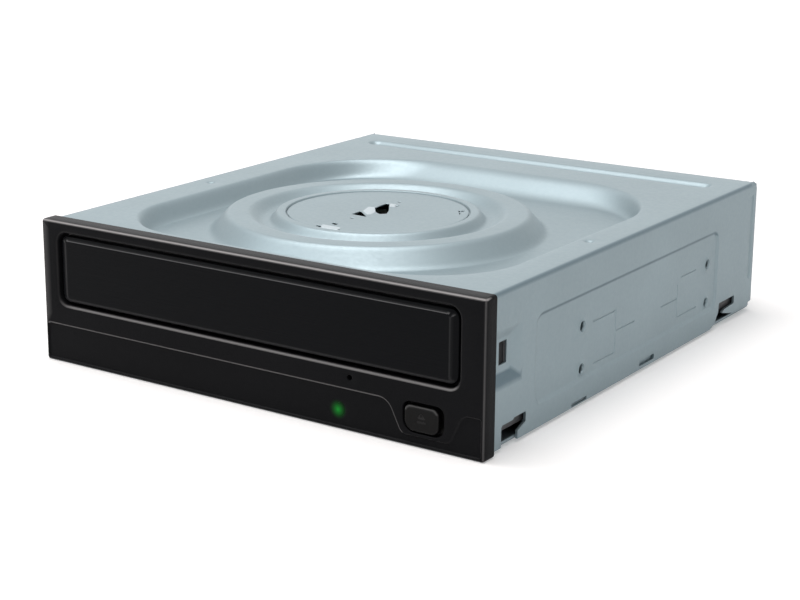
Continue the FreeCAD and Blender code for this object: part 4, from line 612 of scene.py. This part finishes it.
def outer_edge(inset):
    """The bezel's outline, moved in."""
    return inset_loop((-bezel_half, 0.0), (bezel_half, bezel_high), [0.9] * 4, inset, 7, (70, 18, 70, 18),
                      0.12)


def tray_mouth(into):
    """The edge of the tray's opening, moved into the moulding round it."""
    return inset_loop(mouth_low, mouth_high, [mouth_round] * 4, -into, 12, (60, 9, 60, 9), 0.4)


def button_mouth(into):
    """The edge of the button's opening, likewise. Its lower corners are the rounder ones."""
    return inset_loop((50.05, 3.75), (62.4, 12.0), (3.4, 3.0, 2.3, 2.3), -into, 9, (5, 3, 5, 3), 0.3)


def lamp_mouth(into):
    """The edge of the lamp's slot, likewise: upright, with round ends."""
    r, (x, z) = 1.25 + into, (30.6, 5.4)
    return rounded_loop((x - r, z - 0.6 - r), (x + r, z + 0.6 + r), [r - 0.02] * 4, 7, (0, 1, 0, 1))


def release_hole(into):
    """The edge of the round hole for opening the tray by hand, likewise."""
    return np.array([33.7, 14.6]) + (0.75 + into) * ring_way[::8]


bezel_outline, _ = contoured(front_blank, outer_edge, round_over(0.85, bezel_deep)[::-1])
_, mouth = contoured(front_blank, tray_mouth, round_over(0.85, 4.6))
_, button_gap = contoured(front_blank, button_mouth, round_over(0.28, 2.0, steps=4))
_, lamp_gap = contoured(front_blank, lamp_mouth, [
    (0.12, 0.12, 0.4), (0.0, 0.03, 0.43), (-0.12, 0.0, 0.52), (-0.3, 0.0, 1.2), (-0.5, 0.0, 2.0)])
_, release_gap = contoured(front_blank, release_hole, [
    (0.2, 0.2, 0.0), (0.08, 0.06, 0.05), (0.0, 0.0, 0.2), (-0.15, 0.0, 1.0), (-0.3, 0.0, 2.0)])
# the styling line's corners as (x, z, radius), and rows across its small step
band = cornered([(-73.0, 1.0, 0.6), (73.0, 1.0, 0.6), (73.0, 11.2, 0.6), (67.7, 11.2, 3.0), (63.9, 2.95, 2.2),
                 (49.6, 2.95, 2.4), (45.4, 11.4, 4.6), (-73.0, 11.4, 0.8)])
for d in (-0.38, -0.28, -0.2, -0.12, -0.06, 0.0, 0.06, 0.12, 0.2, 0.28, 0.38):
    row = moved_in(band, d)
    front_blank.add(row, facing(row, band_deep * float(eased(d + 0.12, 0.24, 0.12, 0.12))), "closed")
plain = lattice(np.arange(-71.0, 71.1, 3.0), np.arange(1.9, 41.0, 3.1))
for loop in (tray_mouth(1.6), button_mouth(0.9), lamp_mouth(0.7), release_hole(0.8)):
    plain = plain[~inside(plain, loop)]
for part, depth in ((inside(plain, moved_in(band, 0.9)), band_deep),
                    (~inside(plain, moved_in(band, -0.9)), 0.0)):
    front_blank.add(plain[part], facing(plain[part], depth))
front_points, front_faces = shell(
    *front_blank.cut(bezel_outline, [mouth, button_gap, lamp_gap, release_gap]), bezel_wall)
hook_low, hook_high = 21.8, 29.8
latches = []
for side in (-1, 1):
    latch = np.array([(69.9, 1.4), (71.2, 1.4), (71.1, 9.8), (71.5, 10.4), (71.45, 10.7), (71.15, 13.3),
                      (71.05, 14.2), (70.0, 14.2)]) * np.array([side, 1])
    latches.append(prism(latch[::side], hook_low, hook_high, level))
front_points, front_faces = add_parts(front_points, front_faces, latches)
glowing(bezel_black, **lamp_glow)
# painted highlights: a pale grey mixed into the black along the bezel's rounded edges, the tray lip and the
# styling line
paint_edge_light_and_shade(bezel_black, (0.42, 0.41, 0.41))
# painted highlight weights: the outer edge above and at the sides, the tray opening's lower lip, and the
# styling line
at = front_points[:, [0, 2]]
at_x, at_z = at.T
from_lip = outside(at, mouth_low, mouth_high, mouth_round)
below = np.clip((19.0 - at_z) / 1.5, 0, 1) * (0.35 + 0.65 * np.clip((at_x + 66.5) / 3.0, 0, 1))
line_away, on_line = to_closed_line(at, band)
line_x, line_z = on_line.T
styled = np.where(line_z < 2.5, 0.0, np.where(line_x > 50.0, 0.03, 0.42)) * (line_x > -72.9)
front_edges = np.maximum.reduce([
    0.95 * hump(bezel_high - at_z, 0.34, 0.34), 0.27 * hump(bezel_half - at_x, 0.32, 0.32),
    0.22 * hump(bezel_half + at_x, 0.75, 0.32) * (at_z > 11.0), 0.60 * below * hump(from_lip, 0.42, 0.42),
    0.045 * hump(from_lip, 0.35, 0.35), styled * hump(line_away, 0.0, 0.37)])
front_edges *= front_points[:, 1] < 0.86
piece("moulded_bezel", front_points, front_faces, "chassis", bezel_black, ("front_bezel",),
      edges=front_edges)

# Tray's front plate: a black moulding with a wide bevel at its ends and a narrow one above and below, its
# face finely brushed from side to side. Two clips under it hook the tray.
panel_black = finish("panel_moulding", (0.0030, 0.0035, 0.0045), 0.33, grain=0.35, grain_size=2400.0,
                     stretch=(0.02, 1, 1), vary=0.10, vary_size=8.0, specular=0.06, rough_vary=0.10)
plate_low, plate_high, plate_round = (-67.3, 18.31), (65.8, 37.8), 2.6
panel_blank = Blank()


def plate_edge(inset):
    """The plate's outline moved in, nearly twice as far at its ends as above and below."""
    (x0, z0), (x1, z1) = plate_low, plate_high
    return rounded_loop((x0 + 1.8 * inset, z0 + inset), (x1 - 1.8 * inset, z1 - inset),
                        [max(plate_round - inset, 0.5)] * 4, 10, (50, 8, 50, 8))


def back_face(points, depth, middle):
    """One face over the points that lie behind a depth, in the order of their angle round (x, z)."""
    behind = np.flatnonzero(points[:, 1] > depth)
    turn = np.arctan2(points[behind, 2] - middle[1], points[behind, 0] - middle[0])
    return behind[np.argsort(turn)].tolist()


plate_rim, _ = contoured(panel_blank, plate_edge, [
    (-1.6, 0.0, 2.7), (-0.3, 0.0, 1.3), (-0.12, 0.03, 1.12), (0.0, 0.1, 1.0), (0.15, 0.22, 0.9),
    (0.7, 0.7, 0.56), (1.05, 1.1, 0.28), (1.2, 1.25, 0.215), (1.4, 1.45, 0.2), (1.7, 1.75, 0.2)])
plain = lattice(np.arange(-62.0, 62.1, 4.0), np.arange(21.2, 35.9, 2.9))
panel_blank.add(plain, facing(plain, 0.2))
panel_points, panel_triangles = panel_blank.cut(plate_rim, [])
panel_faces = panel_triangles.tolist() + [back_face(panel_points, 2.69, (0.0, 28.0))]
clips = [prism(np.array([(x0, 2.6), (x0 + 14, 2.6), (x0 + 14, 5.7), (x0, 5.7)]), 23.6, 24.8, level)
         for x0 in (-34.0, 20.0)]
panel_points, panel_faces = add_parts(panel_points, panel_faces, clips)
# painted highlights: a grey mixed into the black along the plate's bevels
paint_edge_light_and_shade(panel_black, (0.22, 0.22, 0.225))
# painted highlight weights: the bevel's inner edge above, its whole slope below, and the inner edges at both
# ends
from_rim = -outside(panel_points[:, [0, 2]], plate_low, plate_high, plate_round)
upper, lower = panel_points[:, 2] > 35.9, panel_points[:, 2] < 19.7
panel_edges = np.maximum.reduce([
    0.75 * upper * hump(from_rim, 1.25, 0.2), 0.20 * lower * hump(from_rim, 0.7, 0.65),
    0.14 * hump(np.abs(panel_points[:, 0] + 0.75), 64.35, 0.35) * ~upper])
panel_edges *= panel_points[:, 1] < 1.0
piece("tray_front_plate", panel_points, panel_faces, "tray", panel_black, ("tray_panel",),
      edges=panel_edges)

# Eject button: a black key with rounded edges, held behind the bezel by its flange, with a round stem that
# reaches back to its switch. Its lower left corner is rounder than the others.
key_black = finish("button_moulding", (0.0055, 0.0055, 0.0055), 0.30, grain=0.2, grain_size=1500.0, vary=0.1,
                   specular=0.10, rough_vary=0.05)
key_low, key_high, key_middle = (50.45, 4.1), (60.65, 11.0), (55.55, 7.55)
key_blank = Blank()


def key_outline(inset):
    """The key's outline, moved in."""
    return inset_loop(key_low, key_high, (2.9, 2.3, 1.7, 1.6), inset, 9, (5, 3, 5, 3), 0.25)


def key_depth(inset):
    """The face is dished a little: its depth grows with the square of the way in from the edge."""
    return 0.10 + 0.06 * min(1.0, max(0.0, (inset - 0.6) / 2.0)) ** 2


def softened(corners, radius, arc, step):
    """A closed line through corners (a, b) that all have the same radius."""
    return cornered([(a, b, radius) for a, b in corners], arc, step)


face_rows = [(inset, inset, key_depth(inset)) for inset in (0.9, 1.4, 1.9, 2.4)]
key_rim, _ = contoured(key_blank, key_outline,
                       [(-1.2, 0.0, 2.2)] + round_over(0.50, 1.3, 0.10, 7)[::-1][1:] + face_rows)
# the generic eject mark, a triangle over a bar, is sunk into the face
mark_level = key_depth(3.0)
for mark in ([(54.15, 7.75), (56.85, 7.75), (55.5, 9.35)],
             [(54.15, 6.45), (56.85, 6.45), (56.85, 7.1), (54.15, 7.1)]):
    row = softened(mark, 0.1, 3, 0.4)
    for d, sunk in ((0.0, 0.0), (0.07, 0.12), (0.13, 0.15)):
        key_blank.add(moved_in(row, d), facing(moved_in(row, d), mark_level + sunk), "closed")
key_points, key_triangles = key_blank.cut(key_rim, [])
key_faces = key_triangles.tolist() + [back_face(key_points, 2.19, key_middle)]
stem = np.array(key_middle) + 1.6 * ring_way[::8]
key_points, key_faces = add_parts(key_points, key_faces, [
    prism(key_outline(-1.75)[::-1], 2.15, 3.1, facing), prism(stem[::-1], 3.05, 7.5, facing)])
# painted highlight: a grey mixed into the black on the key's rounded edge, and a lighter tone on the mark
paint_edge_light_and_shade(key_black, (0.14, 0.14, 0.14))
# painted highlight weights: the rounded edge, most of all above; the mark's sunk floor is toned lighter too
from_side = -outside(key_points[:, [0, 2]], key_low, key_high, 2.0)
in_front = key_points[:, 1] < 0.6
key_edges = hump(from_side, 0.25, 0.3) * (0.06 + 0.6 * (key_points[:, 2] > 9.6)) * in_front
marked = (from_side > 1.5) & (key_points[:, 1] > mark_level + 0.05) & in_front
piece("eject_key", key_points, key_faces, "button", key_black, ("eject_button",),
      edges=np.maximum(key_edges, 0.16 * marked))

# Clamp plate: a round steel plate let into the cover's collar and locked by bayonet tongues. A keyhole and a
# small triangle show the dark inside; the pressed hoops beside them and one tongue stand a little proud and
# carry a painted highlight, a paler tone.
plate_zinc = finish("zinc_plated_plate", **zinc_look)
# painted highlight: a paler blue-grey mixed in on the raised hoops and tongue
paint_edge_light_and_shade(plate_zinc, (0.46, 0.52, 0.55))
plate_level, plate_r, plate_sheet, raised_by = 41.35, 26.45, 0.45, 0.12
plate_blank = Blank()
# outlines of the hoops and of the tongue, as corners (x, y) from the spindle
raised = [softened(corners, 0.3, 4, 0.9) for corners in (
    [(-3.5, -2.5), (-5.1, 2.8), (-3.4, 3.2), (-0.1, -1.3), (0.7, -4.8), (0.1, -5.6)],
    [(-0.2, 6.5), (-2.4, 9.9), (-0.6, 10.1), (1.3, 7.0)],
    [(-3.3, -23.1), (2.9, -23.3), (4.8, -27.0), (-1.2, -26.6)])]


def plate_row(row, drop=0.0, line="closed"):
    """Adds a row to the plate at its level less a drop, a little higher on the hoops and the tongue."""
    lift = np.zeros(len(row))
    for loop in raised:
        lift[inside(row, spindle + moved_in(loop, 0.15))] = raised_by
    plate_blank.add(row, np.stack([row[:, 0], row[:, 1], plate_level + lift - drop], 1), line)


def winding(loop):
    """One for a counterclockwise loop and minus one for a clockwise one: the sign of its area."""
    return np.sign(np.sum(loop[:, 0] * (np.roll(loop, -1, 0) - np.roll(loop, 1, 0))[:, 1]))


for inset, drop in ((0.0, 0.16), (0.08, 0.05), (0.22, 0.0), (0.6, 0.0)):
    plate_row(spindle + (plate_r - inset) * ring_way, drop)
plate_holes = [spindle + softened(corners, radius, 4, 0.9) for corners, radius in (
    ([(-3.1, 2.9), (0.1, -1.3), (2.5, -2.7), (3.8, -1.3), (2.1, 2.5), (-2.6, 9.8), (-3.7, 9.9),
      (-3.6, 6.3)], 0.3),
    ([(-4.2, -7.4), (-4.3, -2.7), (1.4, -7.8)], 0.2),
    ([(-4.0, -25.4), (-4.2, -24.1), (-2.9, -24.2), (-1.9, -25.9)], 0.15),
    ([(-2.1, -20.4), (-2.0, -19.1), (-0.1, -19.8), (-0.2, -21.1)], 0.15),
    ([(18.8, 14.2), (18.9, 14.7), (21.9, 10.3), (21.6, 10.1)], 0.1),
    ([(19.8, 13.7), (20.0, 15.5), (20.6, 14.7), (20.3, 12.9)], 0.1))]
plate_holes += [spindle + np.array(middle) + r * ring_way[::12] for middle, r in (
    ((0.8, 8.6), 0.5), ((-1.6, 13.7), 0.5), ((0.8, 10.0), 0.3), ((-1.2, -11.5), 0.5), ((4.0, -25.3), 0.4))]
for loop in raised:
    for inset in (0.0, 0.3):
        plate_row(spindle + moved_in(loop, inset))
for hole in plate_holes:
    plate_row(hole, 0.1)
    plate_row(moved_in(hole, -0.12 * winding(hole)))
plain = lattice(np.arange(-25.0, 25.1, 1.25), np.arange(-25.0, 25.1, 1.25))
plain = plain[np.hypot(plain[:, 0], plain[:, 1]) < plate_r - 1.2] + spindle
for hole in plate_holes:
    plain = plain[~inside(plain, hole + 0.25 * np.sign(hole - hole.mean(0)))]
plate_row(plain, line=None)
plate_points, plate_faces = shell(*plate_blank.cut(spindle + plate_r * ring_way, plate_holes), plate_sheet)
# painted highlight weight: the points raised above the plate's level
plate_painted_highlight = 0.9 * (plate_points[:, 2] > plate_level + 0.05)
piece("clamp_plate_round", plate_points, plate_faces, "chassis", plate_zinc, ("clamp_plate",),
      edges=plate_painted_highlight)

# Lead screw: a ground steel rod with a rounded thread rolled along the carriage's way. The thread is a grid
# over angle and length, and its radius a raised cosine of the angle and the turns of the thread together.
bright_steel = finish("turned_steel", (0.60, 0.60, 0.61), 0.28, metal=1.0, grain=0.08, grain_size=1200.0,
                      stretch=(1, 0.1, 1), vary=0.04)
rod_r, thread_deep, thread_lead, plain_ends = 1.5, 0.16, 3.0, (3.0, 4.0)
screw_low, screw_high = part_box("lead_screw")
screw_x = (screw_low.x + screw_high.x) * 500
screw_z = (screw_low.z + screw_high.z) * 500
screw_y = np.array([screw_low.y - face_y, screw_high.y - face_y]) * 1000
turn, along = np.meshgrid(np.linspace(0, 2 * math.pi, 28, endpoint=False),
                          np.arange(screw_y[0], screw_y[1], 0.24))
cut = np.clip(np.minimum(along - screw_y[0] - plain_ends[0], screw_y[1] - plain_ends[1] - along), 0, 1)
r = rod_r - thread_deep * cut * (1 - np.cos(turn + 2 * math.pi * along / thread_lead)) ** 2 / 2
thread = np.stack([screw_x + r * np.cos(turn), along, screw_z + r * np.sin(turn)], -1).reshape(-1, 3)
rows, around = along.shape
caps = [list(range(around)), list(range((rows - 1) * around, rows * around))[::-1]]
piece("rolled_lead_screw", thread, tube_faces(rows, around).tolist() + caps, "screw", bright_steel,
      ("lead_screw",))


# Pieces whose solids are right as they are: each keeps its shape and gets a finish worked from what it is
# made of, such as sheet and turned steel, mouldings, rubber, cast metal, board and chips.
def dress(material, *names):
    """The finish on each node's own object."""
    for name in names:
        mesh = bpy.data.objects[name].data
        mesh.materials.clear()
        mesh.materials.append(material)


dress(zinc, "bottom_cover")
dress(bright_steel, "cover_screws", "damper_screws", "board_screws", "main_guide_rod", "side_guide_rod",
      "clamper_yoke", "spindle_rotor", "loading_motor", "sled_motor")
dress(finish("deck_steel", (0.46, 0.48, 0.49), 0.40, metal=0.9, grain=0.12, grain_size=700.0, vary=0.05),
      "traverse_frame", "spindle_motor_base")
dress(finish("frame_moulding", (0.022, 0.022, 0.024), 0.50, grain=0.5, grain_size=900.0, vary=0.15),
      "main_frame", "lift_frame", "clamper_holder", "rod_holders")
dress(finish("tray_moulding", (0.019, 0.019, 0.021), 0.40, grain=0.4, grain_size=1300.0, vary=0.12),
      "disc_tray")
dress(finish("natural_moulding", (0.72, 0.70, 0.63), 0.34, grain=0.12, grain_size=500.0, vary=0.04),
      "motor_pulley", "pulley_gear", "drive_gear", "cam_slider", "carriage_nut", "clamper", "turntable")
dress(finish("soft_rubber", (0.020, 0.020, 0.020), 0.75, grain=0.5, grain_size=1100.0, vary=0.2),
      "dampers", "drive_belt", "turntable_pad")
dress(finish("board_mask", (0.025, 0.16, 0.075), 0.30, grain=0.25, grain_size=260.0, vary=0.18,
             vary_size=90.0, coat=0.4), "main_board", "front_board")
dress(finish("chip_moulding", (0.018, 0.018, 0.019), 0.48, grain=0.4, grain_size=1800.0, vary=0.15),
      "controller_chip", "small_chips", "rear_socket", "eject_switch", "lens_holder")
dress(finish("cast_carriage", (0.44, 0.44, 0.45), 0.46, metal=0.85, grain=0.35, grain_size=800.0, vary=0.10),
      "pickup_body")
dress(finish("drawn_cans", (0.72, 0.72, 0.73), 0.30, metal=1.0, grain=0.06, grain_size=900.0, vary=0.04),
      "capacitors")
dress(finish("gilt_contacts", (0.80, 0.58, 0.22), 0.26, metal=1.0, grain=0.05, grain_size=1500.0, vary=0.05),
      "socket_contacts")
dress(finish("lamp_resin", (0.78, 0.80, 0.74), 0.18, grain=0.03, grain_size=600.0, vary=0.03), "status_lamp")
lit_green = finish("lit_guide", (0.0040, 0.0050, 0.0044), 0.34, grain=0.04, grain_size=600.0, vary=0.10,
                   specular=0.05)
glowing(lit_green, **lamp_glow)
dress(lit_green, "light_guide")
clear = finish("lens_moulding", (0.60, 0.72, 0.90), 0.05, grain=0.01, grain_size=500.0, vary=0.05, coat=1.0)
clear.node_tree.nodes["Principled BSDF"].inputs["Transmission Weight"].default_value = 0.7
dress(clear, "objective_lens")


# Camera at the photograph's place, on the bezel's lines: its turn and height come from the drive's edges, and
# its distance and lens from how much they draw together.
def camera_place(turn, rise, lean, at, lens, shift):
    """Looks along minus (sin turn cos rise, -cos turn cos rise, sin rise), leaning by a small roll."""
    turn, rise, lean = math.radians(turn), math.radians(rise), math.radians(lean)
    back = Vector((math.sin(turn) * math.cos(rise), -math.cos(turn) * math.cos(rise), math.sin(rise)))
    right = Vector((math.cos(turn), math.sin(turn), 0.0))
    up = back.cross(right)
    leant_right = right * math.cos(lean) + up * math.sin(lean)
    leant_up = up * math.cos(lean) - right * math.sin(lean)
    data = bpy.data.cameras.new("camera")
    data.sensor_width, data.lens = 36.0, lens
    data.shift_x, data.shift_y = shift
    data.clip_start, data.clip_end = 0.01, 20.0
    made = in_scene("camera", data)
    rows = Matrix((leant_right, leant_up, back)).transposed().to_4x4()
    made.matrix_world = Matrix.Translation(Vector(placed(at))) @ rows
    bpy.context.scene.camera = made


bpy.context.scene.view_settings.view_transform = "Standard"
camera_place(turn=35.45, rise=14.56, lean=-0.07, at=(284.3, -356.0, 158.8), lens=80.47, shift=(0.075, -0.05))


# Floor and lights: a white sweep that keeps the drive's soft shadow, and broad soft lamps. The sky and the
# floor are white where they are seen or mirrored, and weaker where they light the drive.
def seen_or_mirrored(tree):
    """One on rays from the camera, a mirror or a clear surface, else nothing: the largest of the three."""
    paths = node(tree, "ShaderNodeLightPath", {})
    either = paths.outputs["Is Camera Ray"]
    for kind in ("Is Glossy Ray", "Is Transmission Ray"):
        larger = node(tree, "ShaderNodeMath", {0: either, 1: paths.outputs[kind]}, operation="MAXIMUM")
        either = larger.outputs["Value"]
    return either


def sky(strength):
    """A plain studio sky of strength 1 where it is seen or mirrored, and weaker where it lights the drive."""
    world = bpy.data.worlds.new("studio")
    bpy.context.scene.world = world
    world.use_nodes = True
    tree = world.node_tree
    lit = tree.nodes["Background"]
    feed(tree, lit, {"Color": (0.93, 0.97, 1.0, 1), "Strength": strength})
    shown = node(tree, "ShaderNodeBackground", {"Color": (1, 1, 1, 1), "Strength": 1.0})
    choose = node(tree, "ShaderNodeMixShader", {
        "Fac": seen_or_mirrored(tree), 1: lit.outputs["Background"], 2: shown.outputs["Background"]})
    feed(tree, tree.nodes["World Output"], {"Surface": choose.outputs["Shader"]})


def floor(own, near, far, half=3.0):
    """A wide matt plane under the drive. Where it is seen or mirrored it adds a white of its own to the light
    that falls on it, which grows to all white from a near to a far distance, outside the shadow."""
    made = bpy.data.materials.new("floor_white")
    made.use_nodes = True
    tree = made.node_tree
    place = node(tree, "ShaderNodeTexCoord", {})
    away = node(tree, "ShaderNodeVectorMath", {0: place.outputs["Object"]}, operation="LENGTH")
    growing = node(tree, "ShaderNodeMapRange", {
        "Value": away.outputs["Value"], "From Min": near, "From Max": far, "To Min": own, "To Max": 1.0},
        interpolation_type="SMOOTHSTEP")
    seen = node(tree, "ShaderNodeMath", {0: seen_or_mirrored(tree), 1: growing.outputs["Result"]},
                operation="MULTIPLY")
    feed(tree, tree.nodes["Principled BSDF"], {
        "Base Color": (0.8, 0.8, 0.8, 1), "Roughness": 0.9, "Specular IOR Level": 0.0,
        "Emission Color": (1, 1, 1, 1), "Emission Strength": seen.outputs["Value"]})
    mesh = bpy.data.meshes.new("floor")
    mesh.from_pydata([(-half, -half, 0), (half, -half, 0), (half, half, 0), (-half, half, 0)], [],
                     [(0, 1, 2, 3)])
    mesh.materials.append(made)
    in_scene("floor", mesh)


def lamp(name, place, size, power, colour=(1, 1, 1)):
    """A broad soft lamp that looks at the drive."""
    data = bpy.data.lights.new(name, "AREA")
    data.shape = "RECTANGLE"
    data.size, data.size_y = size
    data.energy = power
    data.color = colour
    made = in_scene(name, data)
    made.location = place
    made.rotation_euler = (Vector((0, 0, 0.02)) - Vector(place)).to_track_quat("-Z", "Y").to_euler()


sky(strength=0.26)
floor(own=0.30, near=0.25, far=0.80)
lamp("overhead", place=(-0.10, -0.14, 1.1), size=(1.0, 0.8), power=12.2, colour=(1.0, 0.945, 0.925))
lamp("behind_left", place=(-0.85, 1.2, 0.42), size=(1.2, 0.5), power=1.0)
lamp("upper_left", place=(-0.80, -0.36, 1.0), size=(0.6, 0.6), power=3.0)

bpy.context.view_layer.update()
